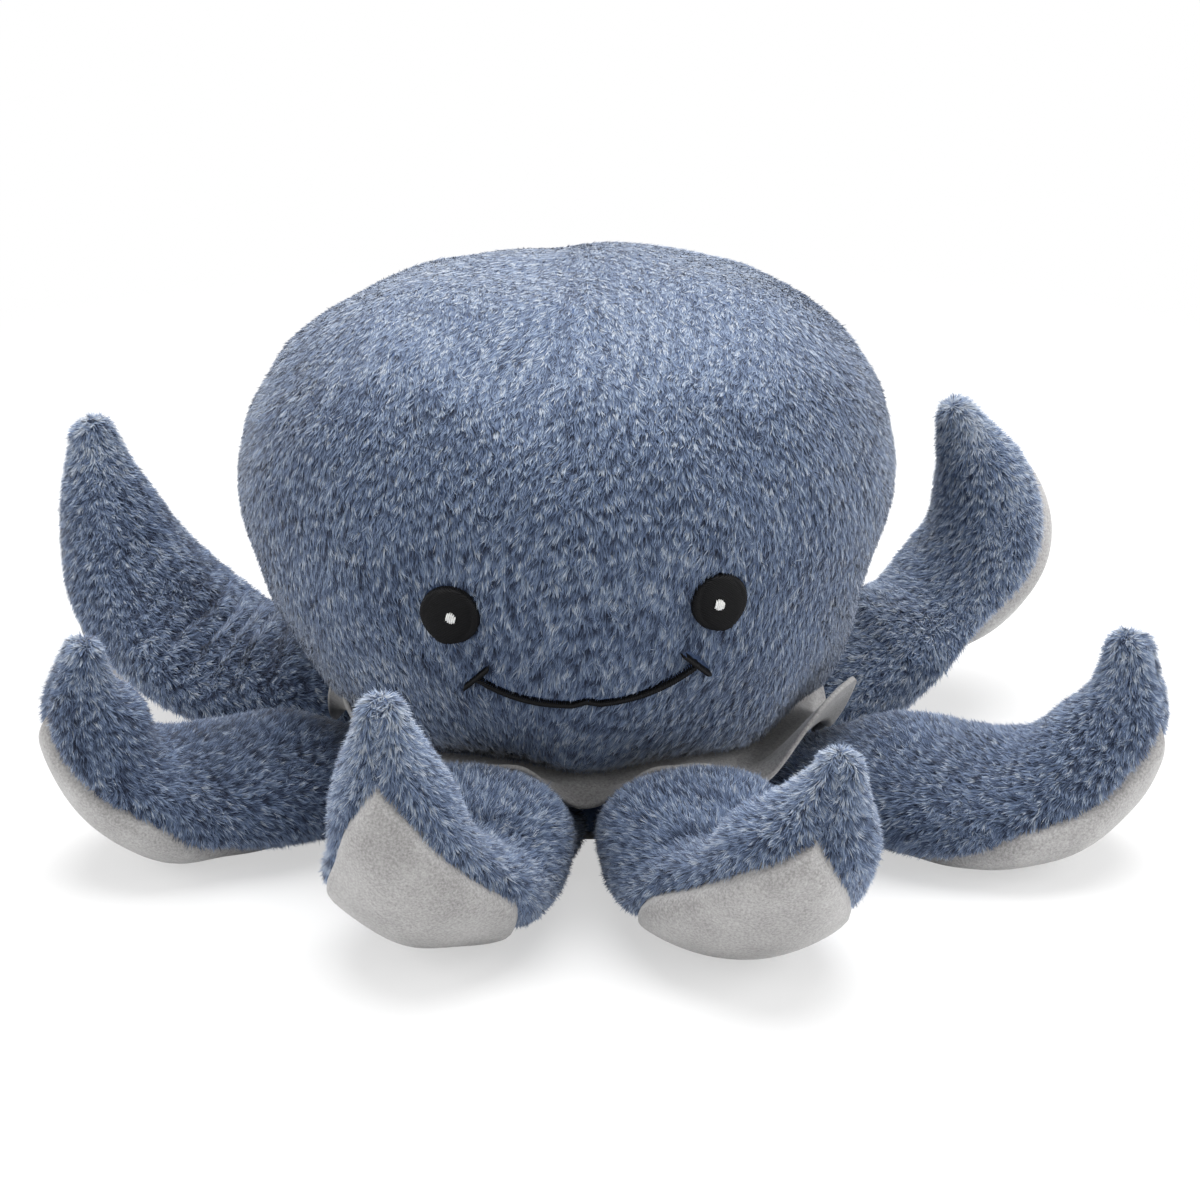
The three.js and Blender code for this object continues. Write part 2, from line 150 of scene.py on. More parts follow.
# A material in the making, with its Principled shader
class Paint(Nodes):
    def __init__(self, name, fixed):
        self.material = bpy.data.materials.new(name)
        super().__init__(self.material)
        self.shade(fixed)

    def shade(self, values):
        self.feedOwn("Principled BSDF", values)

    # Tufts of this size in millimetres, laid out by the cloth's place before it bends
    def noise(self, size, detail, roughness):
        place = self.node("ShaderNodeAttribute", {"attribute_name": "restPlace"}).output("Vector")
        values = {"Vector": place, "Scale": 1 / size, "Detail": detail, "Roughness": roughness}
        return self.node("ShaderNodeTexNoise", {"noise_dimensions": "3D"}, **values)

    def bump(self, height, depth, strength):
        relief = self.node("ShaderNodeBump", {}, Height=height, Distance=depth * mm, Strength=strength)
        self.shade({"Normal": relief})


# sRGB numbers, 0 to 255, as a colour that the shader takes
def fromScreen(red, green, blue):
    shares = [value / 255 for value in (red, green, blue)]
    linear = [share / 12.92 if share <= 0.04045 else ((share + 0.055) / 1.055) ** 2.4 for share in shares]
    return (*linear, 1)


pileLooks = {
    "yarn": [
        (0, fromScreen(38, 48, 72)),
        (0.25, fromScreen(84, 101, 133)),
        (0.55, fromScreen(122, 142, 176)),
        (0.82, fromScreen(160, 177, 202)),
        (1, fromScreen(204, 213, 226)),
    ],
    # Painted shade: the share of a strand's colour that is left at its root
    "rootShade": 0.4,
    "mapName": "OFBake",
}


# The pile's map holds each strand's tone across and the way from root to tip upwards
def pilePaint():
    paint = Paint("plush_pile", {"Roughness": 0.8, "Specular IOR Level": 0.2, "Sheen Weight": 0.45})
    place = paint.node("ShaderNodeUVMap", {"uv_map": pileLooks["mapName"]})
    parts = paint.node("ShaderNodeSeparateXYZ", {}, place)
    yarn = paint.node("ShaderNodeValToRGB", {"stops": pileLooks["yarn"]}, parts.output("X"))
    # Painted shade: each strand darkens from its tip towards its root, where the strands around it shade it
    shade = parts.output("Y") * (1 - pileLooks["rootShade"]) + pileLooks["rootShade"]
    grey = paint.node("ShaderNodeCombineXYZ", {}, shade, shade, shade)
    paint.shade({"Base Color": paint.blend(1.0, yarn, grey, "MULTIPLY")})
    return paint.material


suedeLooks = {
    "nap": [(0.3, fromScreen(122, 120, 120)), (0.7, fromScreen(180, 179, 178))],
    "napSize": 0.55,
    "napDetail": 3.0,
    "napGrain": 0.65,
    "napDepth": 0.16,
    "napRelief": 0.6,
    "napShare": 0.75,
    "patchSize": 9,
    "patchDetail": 2.0,
    "patchGrain": 0.5,
    "roughness": 0.8,
    "roughSpan": 0.15,
}


def suedePaint():
    paint = Paint("suede", {"Specular IOR Level": 0.2, "Sheen Weight": 0.35})
    nap = paint.noise(suedeLooks["napSize"], suedeLooks["napDetail"], suedeLooks["napGrain"])
    patches = paint.noise(suedeLooks["patchSize"], suedeLooks["patchDetail"], suedeLooks["patchGrain"])
    fleck = nap * suedeLooks["napShare"] + patches * (1 - suedeLooks["napShare"])
    colour = paint.node("ShaderNodeValToRGB", {"stops": suedeLooks["nap"]}, fleck)
    roughness = nap * suedeLooks["roughSpan"] + suedeLooks["roughness"]
    paint.shade({"Base Color": colour, "Roughness": roughness})
    paint.bump(nap, suedeLooks["napDepth"], suedeLooks["napRelief"])
    return paint.material


# Knitted ground, thread and fibre: two colours in tufts that stand out, sizes in millimetres
tuftLooks = {
    "plush_ground": {
        "deep": fromScreen(60, 76, 108), "bright": fromScreen(98, 118, 156), "size": 1.1, "detail": 3.0,
        "grain": 0.6, "depth": 0.5, "relief": 0.8, "roughness": 0.95, "roughSpan": 0, "sheen": 0,
    },
    "thread_black": {
        "deep": fromScreen(5, 5, 6), "bright": fromScreen(16, 16, 18), "size": 0.5, "detail": 2.0,
        "grain": 0.5, "depth": 0.06, "relief": 0.5, "roughness": 0.5, "roughSpan": 0.2, "sheen": 0,
    },
    "thread_white": {
        "deep": fromScreen(225, 225, 222), "bright": fromScreen(247, 247, 245), "size": 0.5, "detail": 2.0,
        "grain": 0.5, "depth": 0.06, "relief": 0.5, "roughness": 0.5, "roughSpan": 0.2, "sheen": 0,
    },
    "stuffing": {
        "deep": fromScreen(205, 202, 194), "bright": fromScreen(240, 238, 232), "size": 3.5, "detail": 4.0,
        "grain": 0.65, "depth": 0.8, "relief": 0.8, "roughness": 0.95, "roughSpan": 0, "sheen": 0.2,
    },
}


def tuftedPaint(name):
    look = tuftLooks[name]
    fixed = {"Roughness": look["roughness"], "Specular IOR Level": 0.2, "Sheen Weight": look["sheen"]}
    paint = Paint(name, fixed)
    tufts = paint.noise(look["size"], look["detail"], look["grain"])
    paint.shade({"Base Color": paint.blend(tufts, look["deep"], look["bright"])})
    if look["roughSpan"] > 0:
        paint.shade({"Roughness": tufts * look["roughSpan"] + look["roughness"]})
    paint.bump(tufts, look["depth"], look["relief"])
    return paint.material


paints = {"pile": pilePaint(), "suede": suedePaint(), **{name: tuftedPaint(name) for name in tuftLooks}}
print("materials: done")

# Meshes from arrays: points are in millimetres
joinDistance = 0.004
tiny = 1e-9


# Each piece keeps its cloth's own place in millimetres, so that the nap doesn't slide when the cloth bends
def addPiece(name, points, faces, paint, chart=None):
    corners = np.concatenate([np.asarray(group, np.int32).ravel() for group in faces])
    sizes = np.concatenate([np.full(len(group), len(group[0]), np.int32) for group in faces])
    starts = np.concatenate([[0], np.cumsum(sizes)[:-1]]).astype(np.int32)
    mesh = bpy.data.meshes.new(name)
    mesh.vertices.add(len(points))
    mesh.vertices.foreach_set("co", (np.asarray(points) * mm).astype(np.float32).ravel())
    mesh.loops.add(len(corners))
    mesh.loops.foreach_set("vertex_index", corners)
    mesh.polygons.add(len(starts))
    mesh.polygons.foreach_set("loop_start", starts)
    mesh.update(calc_edges=True)
    mesh.shade_smooth()
    attribute = mesh.attributes.new("restPlace", "FLOAT_VECTOR", "POINT")
    attribute.data.foreach_set("vector", np.asarray(points, np.float32).ravel())
    if chart is not None:
        layer = mesh.uv_layers.new(name=pileLooks["mapName"])
        layer.uv.foreach_set("vector", chart[corners].astype(np.float32).ravel())
    mesh.materials.append(paints[paint])
    piece = bpy.data.objects.new(name, mesh)
    bpy.context.scene.collection.objects.link(piece)
    return piece


# Hides the frame's solid that a piece stands for
def tie(solid=None):
    if solid:
        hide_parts(solid)


# Joins the points that meet at poles and closed edges
def weld(piece):
    form = bmesh.new()
    form.from_mesh(piece.data)
    bmesh.ops.remove_doubles(form, verts=form.verts, dist=joinDistance * mm)
    form.to_mesh(piece.data)
    form.free()
    piece.data.shade_smooth()


# Four-cornered faces of a grid of rows and columns, closed across its columns if it is wrapped
def gridFaces(rows, columns, wrapped):
    steps = columns if wrapped else columns - 1
    row, column = np.meshgrid(np.arange(rows - 1), np.arange(steps), indexing="ij")
    near = row * columns
    far = near + columns
    after = (column + 1) % columns
    return np.stack([near + column, near + after, far + after, far + column], -1).reshape(-1, 4)


def unit(vectors):
    return vectors / np.maximum(np.linalg.norm(vectors, axis=-1, keepdims=True), tiny)


# Which way each point of a grid faces, from the lines through it
def gridNormals(grid, wrapped=False):
    if wrapped:
        across = np.roll(grid, -1, 1) - np.roll(grid, 1, 1)
    else:
        across = np.gradient(grid, axis=1)
    along = np.gradient(grid, axis=0)
    normals = unit(np.cross(across, along))
    for row, beside in ((0, 1), (-1, -2)):
        if np.ptp(grid[row], axis=0).max() < joinDistance:
            normals[row] = unit(normals[beside].mean(axis=0))
    return normals


# A sheet with thickness: the grid's outside, its inside and the edges between
def addShell(name, outer, thickness, paint, wrapped=False):
    rows, columns = outer.shape[:2]
    count = rows * columns
    inner = outer - gridNormals(outer, wrapped) * thickness
    outside = gridFaces(rows, columns, wrapped)
    rims = [rimFaces(loop, count) for loop in borderLoops(rows, columns, wrapped)]
    points = np.concatenate([outer.reshape(-1, 3), inner.reshape(-1, 3)])
    piece = addPiece(name, points, [outside, outside[:, ::-1] + count, *rims], paint)
    weld(piece)
    return piece


def borderLoops(rows, columns, wrapped):
    index = np.arange(rows * columns).reshape(rows, columns)
    if wrapped:
        return [index[0], index[-1][::-1]]
    return [np.concatenate([index[0], index[1:, -1], index[-1, -2::-1], index[-2:0:-1, 0]])]


def rimFaces(loop, count):
    following = np.roll(loop, -1)
    return np.stack([following, loop, loop + count, following + count], -1)


# A grid whose edges meet, as one closed form
def addStuffing(name, grid):
    piece = addPiece(name, grid.reshape(-1, 3), [gridFaces(*grid.shape[:2], False)], "stuffing")
    weld(piece)
    return piece


lumpWaves = {"count": 16, "sizeShares": (0.7, 1.5)}


# A smooth bumpy field between about -1 and 1, the same each run
def lumps(points, size, seed):
    draw = np.random.default_rng(seed)
    total = np.zeros(points.shape[:-1])
    for _ in range(lumpWaves["count"]):
        heading = unit(draw.normal(size=3))
        pace = 2 * np.pi / (size * draw.uniform(*lumpWaves["sizeShares"]))
        total += np.sin(points @ heading * pace + draw.uniform(0, 2 * np.pi))
    return total / math.sqrt(lumpWaves["count"])


def smoothStep(low, high, values):
    share = np.clip((values - low) / (high - low), 0, 1)
    return share * share * (3 - 2 * share)


# 1 at no distance, and fading evenly to both sides
def bell(distance, width):
    return np.exp(-((distance / width) ** 2))


# Form of the arms, all cut from one pattern: millimetres, degrees, and shares of an arm's length
arm = {
    "length": 120,
    "halfWidth": 25,
    "halfThickness": 13.3,
    "rootHalfWidth": 15.2,
    "rootRadius": 9,
    "tipRadius": 5.6,
    "bellyShare": 0.45,
    "widthPower": 1.4,
    "thicknessPower": 0.9,
    "swayPower": 2,
    "flatDepth": 0.5,
}
panel = {"rootDeg": 34, "wideDeg": 82, "widensShare": 0.25, "widestShare": 0.56, "endShare": 0.9}
neck = {"halfWidth": 38, "halfDepth": 30.5, "seamGap": 0.35}
seatFields = ("side", "seatDeg", "headingDeg", "runShare", "curlShare", "curlDeg", "swayShare")
armSeats = [
    ("front_left", -21.5, -22, 0.3, 0.3, 94, -0.03),
    ("front_right", 21.5, 17.5, 0.34, 0.31, 94, 0.13),
    ("mid_left", -67, -76, 0.37, 0.3, 112, 0.08),
    ("mid_right", 67, 70.5, 0.42, 0.285, 105, 0.07),
    ("rear_left", -113.5, -107, 0.28, 0.445, 85, -0.17),
    ("rear_right", 113.5, 119.5, 0.19, 0.355, 121, 0.03),
    ("back_left", -158.5, -161, 0.34, 0.31, 100, 0),
    ("back_right", 158.5, 162, 0.34, 0.31, 100, 0),
]
# How an arm lies off its pattern, in millimetres, degrees and shares: its right side faces greater azimuths
plainLie = {
    "leftTuck": 0, "rightTuck": 0, "bunch": 1, "bunchShare": 0.74, "bunchSpan": 0.13, "leftBulge": 0,
    "rightBulge": 0, "belly": 0, "bellyShare": 0.66, "hollow": 0, "hollowShare": 0.32, "flare": 1.2,
    "twistDeg": 0, "shorter": 0, "suedeShare": 1, "suedeTurnDeg": 0, "suedePower": 1.5, "creases": 0.2,
    "tone": 0,
}
# Each arm's tone is painted light and shade: whole arms are painted lighter or darker to match how brightly
# each is lit
ownLies = {
    "front_left": {
        "leftTuck": 2.6, "suedeShare": 0.9, "suedePower": 0.8, "flare": 3.2, "twistDeg": -8, "tone": 0.05,
    },
    "front_right": {
        "rightTuck": 2.6, "suedeTurnDeg": -16, "suedePower": 0.9, "flare": 3.6, "shorter": 4, "twistDeg": 8,
        "leftBulge": 4.5,
    },
    "mid_left": {
        "bunch": 5, "bunchShare": 0.82, "belly": -0.4, "bellyShare": 0.84, "suedeShare": 1.05,
        "suedeTurnDeg": 7, "flare": 0.6, "leftTuck": 2.6, "tone": -0.1,
    },
    "mid_right": {
        "bunch": 5, "bunchShare": 0.79, "bunchSpan": 0.2, "belly": 1, "suedeShare": 1.05, "suedeTurnDeg": -7,
        "flare": 0.8, "tone": -0.03,
    },
    "rear_left": {
        "bunch": -3, "bunchShare": 0.45, "bunchSpan": 0.2, "belly": 5.4, "bellyShare": 0.64, "hollow": 4,
        "hollowShare": 0.36, "flare": 2.7, "shorter": -1, "twistDeg": 8, "suedeShare": 0.85,
        "suedeTurnDeg": -16, "creases": 1.4, "tone": 0.02,
    },
    "rear_right": {
        "bunch": 3.4, "bunchShare": 0.3, "belly": 6.6, "bellyShare": 0.72, "hollow": 7, "hollowShare": 0.36,
        "leftTuck": 4.5, "shorter": -1.5, "twistDeg": 14, "suedeShare": 0.8, "suedeTurnDeg": 14,
        "creases": 0.3, "tone": 0.14,
    },
}
armLies = [{**plainLie, **dict(zip(seatFields, seat)), **ownLies.get(seat[0], {})} for seat in armSeats]


def directionOf(azimuthDeg):
    azimuth = np.radians(azimuthDeg)
    return np.stack([np.sin(azimuth), -np.cos(azimuth), np.zeros_like(azimuth)], -1)


def reachTowards(direction, halfWidth, halfDepth):
    return 1 / np.hypot(direction[..., 0] / halfWidth, direction[..., 1] / halfDepth)


def seatOf(lie):
    direction = directionOf(lie["seatDeg"])
    clear = neck["seamGap"] + arm["rootRadius"]
    return direction * reachTowards(direction, neck["halfWidth"] + clear, neck["halfDepth"] + clear)


def taper(share, root, belly, tip, power):
    rising = root + (belly - root) * np.sin(np.pi / 2 * np.minimum(share / arm["bellyShare"], 1))
    past = np.clip((share - arm["bellyShare"]) / (1 - arm["bellyShare"]), 0, 1)
    falling = tip + (belly - tip) * np.maximum(np.cos(np.pi / 2 * past), 0) ** power
    return np.where(share < arm["bellyShare"], rising, falling)


def armHalfSizes(length):
    share = np.clip(length / arm["length"], 0, 1)
    across = taper(share, arm["rootHalfWidth"], arm["halfWidth"], arm["tipRadius"], arm["widthPower"])
    through = taper(share, arm["rootRadius"], arm["halfThickness"], arm["tipRadius"], arm["thicknessPower"])
    return across, through


def undersideAt(lie, length):
    run = lie["runShare"] * arm["length"]
    radius = lie["curlShare"] * arm["length"]
    fullTurn = math.radians(lie["curlDeg"])
    turn = np.clip((length - run) / radius, 0, fullTurn)
    beyond = np.maximum(length - run - radius * fullTurn, 0)
    out = np.minimum(length, run) + radius * np.sin(turn) + beyond * np.cos(turn)
    up = radius * (1 - np.cos(turn)) + beyond * np.sin(turn) - arm["flatDepth"]
    return out, up, turn


# How much a round end has drawn in at this length
def endShrink(length, inset):
    rootOver = np.clip(-length / (arm["rootRadius"] - inset), 0, 1)
    tipOver = np.clip((length - arm["length"]) / (arm["tipRadius"] - inset), 0, 1)
    return np.sqrt(np.maximum(1 - np.maximum(rootOver, tipOver) ** 2, 0))


# Places on an arm's section, in the toy's frame: angle 0 is the middle of the underside
def armPlace(lie, length, angle, inset):
    across, through = armHalfSizes(length)
    share = np.clip(length / arm["length"], 0, 1)
    out, up, turn = undersideAt(lie, length - lie["shorter"] * smoothStep(arm["bellyShare"], 1, share))
    shrink = endShrink(length, inset)
    aside = (across - inset) * shrink * np.sin(angle)
    above = -(through - inset) * shrink * np.cos(angle)
    twist = math.radians(lie["twistDeg"]) * smoothStep(0, arm["bellyShare"], share)
    sway = lie["swayShare"] * arm["length"] * share ** arm["swayPower"]
    sideways = aside * np.cos(twist) + above * np.sin(twist) + sway
    inward = through + above * np.cos(twist) - aside * np.sin(twist)
    local = np.stack([out - inward * np.sin(turn), sideways, up + inward * np.cos(turn)], -1)
    turned = math.radians(lie["headingDeg"]) - math.pi / 2
    axes = [[math.cos(turned), math.sin(turned), 0], [-math.sin(turned), math.cos(turned), 0], [0, 0, 1]]
    steps = [local[..., number, None] * np.array(axis) for number, axis in enumerate(axes)]
    return sum(steps, seatOf(lie))


def panelHalfAngle(length, power):
    share = np.clip(length / arm["length"], 0, 1)
    wide = math.radians(panel["wideDeg"])
    narrow = math.radians(panel["rootDeg"])
    widening = narrow + (wide - narrow) * smoothStep(panel["widensShare"], panel["widestShare"], share)
    toPoint = np.clip((share - panel["widestShare"]) / (panel["endShare"] - panel["widestShare"]), 0, 1)
    closing = wide * (1 - toPoint**2) ** power
    return np.where(share < panel["widestShare"], widening, closing)


# Heights set by the arms, as the frame has them: the collar clears raised arms, the head clears the collar
head = {
    "halfWidth": 72.6,
    "halfDepth": 62,
    "crownHeight": 46,
    "crownPower": 2.25,
    "cheekHeight": 52.3,
    "footShare": 0.734,
    "lean": -4.5,
    "leanPower": 4,
}
collar = {
    "thickness": 1.0,
    "gap": 0.7,
    "raiseDeg": 10,
    "overhang": 9.5,
    "tuck": 3.5,
    "lift": 8,
    "dip": 6,
    "wavePower": 1.5,
}


def raisedArmTop(out):
    raised = math.radians(collar["raiseDeg"])
    hinge = arm["rootRadius"] - arm["flatDepth"]
    through = float(armHalfSizes(out)[1])
    return hinge + (2 * through - arm["rootRadius"]) * math.cos(raised) + out * math.sin(raised)


collarHeight = raisedArmTop(arm["rootRadius"]) + collar["gap"]
headFloor = collarHeight + collar["thickness"] + neck["seamGap"]
widestHeight = headFloor + head["cheekHeight"]
headTop = widestHeight + head["crownHeight"]


def leanAt(height):
    share = np.clip((height - headFloor) / (headTop - headFloor), 0, 1)
    return head["lean"] * (1 - (2 * share - 1) ** head["leanPower"])


def headSection(height, inset):
    above = height - widestHeight
    cheekReach = head["cheekHeight"] / math.sqrt(1 - head["footShare"] ** 2)
    crown = np.clip(above / (head["crownHeight"] - inset), 0, 1)
    cheek = np.clip(-above / (cheekReach - inset), 0, 1)
    crownSize = (1 - crown ** head["crownPower"]) ** (1 / head["crownPower"])
    size = np.where(above > 0, crownSize, np.sqrt(1 - cheek**2))
    return (head["halfWidth"] - inset) * size, (head["halfDepth"] - inset) * size


seatAngles = np.sort([lie["seatDeg"] for lie in armLies])


# 1 over the middle of an arm, -1 halfway between two arms
def waveAt(azimuthDeg):
    ends = np.concatenate([[seatAngles[-1] - 360], seatAngles, [seatAngles[0] + 360]])
    following = np.clip(np.searchsorted(ends, azimuthDeg, side="right"), 1, len(ends) - 1)
    previous = ends[following - 1]
    swing = (1 - np.cos(2 * np.pi * (azimuthDeg - previous) / (ends[following] - previous))) / 2
    return 1 - 2 * swing ** collar["wavePower"]


# Cloth of the head: millimetres, degrees and counts
headCloth = {
    "inset": 1.4,
    "thickness": 0.45,
    "fillShare": 0.85,
    "stuffingFillShare": 0.8,
    "stuffingGap": 0.35,
    "neckRows": 8,
    "underRows": 6,
    "cheekRows": 28,
    "crownRows": 30,
    "softPasses": 5,
    "softRows": 6,
    "columns": 96,
    "seamDepth": 0.6,
    "seamWidth": 1.6,
    "dartPlace": -3.8,
    "dartDepth": 0.9,
    "dartWidth": 2.6,
    "dartLength": 19,
    "dartLowestShare": 0.6,
    "lumpSize": 40,
    "lumpDepth": 0.6,
    "dimpleSize": 15,
    "dimpleDepth": 0.22,
    "footSag": 2.6,
    "sagHeight": 9,
    "rises": [
        {"place": -45, "wide": 18, "rise": 2.3},
        {"place": 36, "wide": 26, "rise": 2.1},
    ],
    "tucks": [
        {"azimuthDeg": 88, "height": 55, "wideDeg": 30, "tall": 16, "depth": 4.2},
        {"azimuthDeg": 80, "height": 85, "wideDeg": 32, "tall": 20, "depth": 0.4},
        {"azimuthDeg": -90, "height": 50, "wideDeg": 30, "tall": 14, "depth": 1.1},
        {"azimuthDeg": 66, "height": 30, "wideDeg": 20, "tall": 12, "depth": 2.4},
    ],
    "seed": 11,
}


# Height and half sizes of each row, from the neck's foot to the top of the crown
def headRows(inset):
    under = headFloor + inset
    neckSizes = np.array([neck["halfWidth"] - inset, neck["halfDepth"] - inset])
    edgeSizes = np.array(headSection(under, inset))
    neckFoot = collar["thickness"] + neck["seamGap"]
    rows = [(height, *neckSizes) for height in np.linspace(neckFoot, under, headCloth["neckRows"])]
    for share in np.linspace(0, 1, headCloth["underRows"])[1:]:
        rows.append((under, *(neckSizes + (edgeSizes - neckSizes) * share)))
    cheekShares = np.sin(np.linspace(0, np.pi / 2, headCloth["cheekRows"]))[1:]
    crownShares = np.sin(np.linspace(0, np.pi / 2, headCloth["crownRows"]))[1:] ** (2 / head["crownPower"])
    heights = [under + (widestHeight - under) * share for share in cheekShares]
    heights += [widestHeight + (head["crownHeight"] - inset) * share for share in crownShares]
    rows += [(height, *headSection(height, inset)) for height in heights]
    return soften(np.array(rows))


# Rounds the corners at the head's foot
def soften(rows):
    first = headCloth["neckRows"] - headCloth["softRows"] // 2
    last = headCloth["neckRows"] + headCloth["underRows"] + headCloth["softRows"]
    for _ in range(headCloth["softPasses"]):
        before, here, after = rows[first - 1 : last - 1], rows[first:last], rows[first + 1 : last + 1]
        rows[first:last] = (before + 2 * here + after) / 4
    return rows


def headGrid(azimuths, depth):
    height, halfWidth, halfDepth = headRows(headCloth["inset"] + depth).T[:, :, None]
    places = [leanAt(height) + halfWidth * np.sin(azimuths), -halfDepth * np.cos(azimuths), height]
    grid = np.stack(np.broadcast_arrays(*places), -1).copy()
    footShare = smoothStep(neck["halfWidth"], head["halfWidth"] * head["footShare"], halfWidth)
    nearFoot = bell(height - headFloor, headCloth["sagHeight"])
    grid[..., 2] -= headCloth["footSag"] * collarDipAt(np.degrees(azimuths)) * footShare * nearFoot
    return grid - gridNormals(grid) * headDents(grid)[..., None]


# 0 over the middle of an arm and 1 halfway between two arms, where collar and head hang lower
def collarDipAt(azimuthDeg):
    return (1 - waveAt((azimuthDeg + 180) % 360 - 180)) / 2


# How far the cloth is drawn in: side seams, the dart in the crown and the stuffing's lumps
def headDents(grid):
    x, y, height = np.moveaxis(grid, -1, 0)
    onSide = 1 - smoothStep(widestHeight, headTop, height)
    seam = headCloth["seamDepth"] * bell(y, headCloth["seamWidth"]) * onSide
    dartFoot = widestHeight + head["crownHeight"] * headCloth["dartLowestShare"]
    dartFade = 1 - smoothStep(0, headCloth["dartLength"], np.abs(y))
    dartFade = dartFade * smoothStep(dartFoot, headTop, height)
    dart = headCloth["dartDepth"] * bell(x - headCloth["dartPlace"], headCloth["dartWidth"])
    stuffed = smoothStep(headFloor, headFloor + headCloth["dimpleSize"], height)
    uneven = headCloth["lumpDepth"] * lumps(grid, headCloth["lumpSize"], headCloth["seed"])
    uneven += headCloth["dimpleDepth"] * lumps(grid, headCloth["dimpleSize"], headCloth["seed"] + 1)
    return seam * stuffed + dart * dartFade + uneven * stuffed + slackAt(x, y, height)


# The crown stands fuller on both sides of its dart, and the cheeks are slack in places
def slackAt(x, y, height):
    slack = np.zeros(x.shape)
    onCrown = smoothStep(widestHeight, headTop, height)
    for rise in headCloth["rises"]:
        slack -= rise["rise"] * bell(x - rise["place"], rise["wide"]) * onCrown
    azimuthDeg = np.degrees(np.arctan2(x, -y))
    for tuck in headCloth["tucks"]:
        turned = ((azimuthDeg - tuck["azimuthDeg"] + 180) % 360 - 180) / tuck["wideDeg"]
        slack += tuck["depth"] * np.exp(-(turned**2) - ((height - tuck["height"]) / tuck["tall"]) ** 2)
    return slack


# Pile: strands planted evenly over a grid of the cloth
def plant(grid, count, draw):
    corners = grid[:-1, :-1], grid[:-1, 1:], grid[1:, 1:], grid[1:, :-1]
    crossed = np.cross(corners[2] - corners[0], corners[3] - corners[1])
    areas = np.linalg.norm(crossed, axis=-1).ravel() / 2
    reached = np.cumsum(areas)
    ticks = (np.arange(count) + draw.uniform(size=count)) / count * reached[-1]
    cells = np.minimum(np.searchsorted(reached, ticks), len(areas) - 1)
    row, column = np.divmod(cells, grid.shape[1] - 1)
    return row, column, draw.uniform(size=count), draw.uniform(size=count)


# What a grid of values has at the planted places
def valuesAt(values, seeds):
    row, column, across, along = seeds
    if values.ndim == 3:
        across, along = across[:, None], along[:, None]
    near = values[row, column] * (1 - across) + values[row, column + 1] * across
    far = values[row + 1, column] * (1 - across) + values[row + 1, column + 1] * across
    return near * (1 - along) + far * along


def rootsOn(grid, look, draw):
    seeds = plant(grid, look["strands"], draw)
    return seeds, valuesAt(grid, seeds), unit(valuesAt(gridNormals(grid), seeds))


def onSurface(vectors, normals):
    return vectors - normals * np.sum(vectors * normals, -1, keepdims=True)


def wander(points, size, seed):
    return np.stack([lumps(points, size, seed + axis) for axis in range(3)], -1)


# Which way each strand runs over the cloth, and where its tip is
def strandTips(roots, normals, flow, look, draw, flatness=0):
    count = len(roots)
    lengths = look["length"] * (1 + draw.normal(size=count) * look["lengthSpread"])
    drift = wander(roots, look["swirlSize"], look["seed"]) * look["swirl"]
    drift += wander(roots, look["tuftSize"], look["seed"] + 3) * look["tuft"]
    drift += draw.normal(size=(count, 3)) * look["stray"]
    heading = unit(onSurface(flow + drift, normals))
    lift = look["liftDeg"] + draw.normal(size=(count, 1)) * look["liftSpreadDeg"]
    lift = np.radians(lift * (1 - flatness))
    pointing = heading * np.cos(lift) + normals * np.sin(lift)
    pointing = unit(pointing + draw.normal(size=(count, 3)) * look["curl"])
    return heading, roots + pointing * lengths[:, None]


def strandTones(points, look, draw, shift):
    tones = look["tone"] + shift + draw.normal(size=len(points)) * look["toneSpread"]
    tones += lumps(points * look["clumpStretch"], look["clumpSize"], look["seed"] + 7) * look["clumpTone"]
    return np.clip(tones, *look["toneEnds"])


# Each strand is a narrow roof of two faces: two feet and a ridge at its root, and one tip
def addPile(name, roots, tips, heading, normals, tones, look, draw):
    count = len(roots)
    roll = np.radians(draw.uniform(-1, 1, size=(count, 1)) * look["rollDeg"])
    aside = np.cross(heading, normals) * np.cos(roll) + normals * np.sin(roll)
    ridge = unit(np.cross(aside, tips - roots))
    half = look["width"] / 2 * draw.uniform(*look["widthShares"], size=(count, 1))
    points = np.stack([roots - aside * half, roots + ridge * half, roots + aside * half, tips], 1)
    points[..., 2] = np.maximum(points[..., 2], look["floorGap"])
    corners = points.shape[1]
    first = np.arange(count)[:, None] * corners
    along = np.array([0, 0, 0, 1])
    chart = np.stack(np.broadcast_arrays(tones[:, None], along), -1).reshape(-1, 2)
    faces = [first + np.array([0, 1, 3]), first + np.array([1, 2, 3])]
    pile = addPiece(name, points.reshape(-1, 3), faces, "pile", chart)
    own = np.empty(count * corners * 3, np.float32)
    pile.data.vertex_normals.foreach_get("vector", own)
    own = own.reshape(-1, 3)
    ground = np.repeat(normals, corners, axis=0)
    pile.data.normals_split_custom_set_from_vertices(unit(own + (ground - own) * look["softness"]))
    return pile


pileLook = {
    "strands": 90000,
    "widthShares": (0.75, 1.25),
    "softness": 0.5,
    "toneEnds": (0.02, 0.98),
    "floorGap": 0.05,
}
headPileLook = {
    **pileLook,
    "length": 1.95,
    "lengthSpread": 0.16,
    "width": 0.4,
    "liftDeg": 26,
    "liftSpreadDeg": 7,
    "rollDeg": 16,
    "swirl": 0.14,
    "swirlSize": 26,
    "tuft": 0.36,
    "tuftSize": 2.6,
    "stray": 0.16,
    "curl": 0.1,
    "tone": 0.49,
    "toneSpread": 0.16,
    "clumpTone": 0.3,
    "clumpSize": 1.4,
    "clumpStretch": (1, 1, 0.5),
    "seed": 100,
}

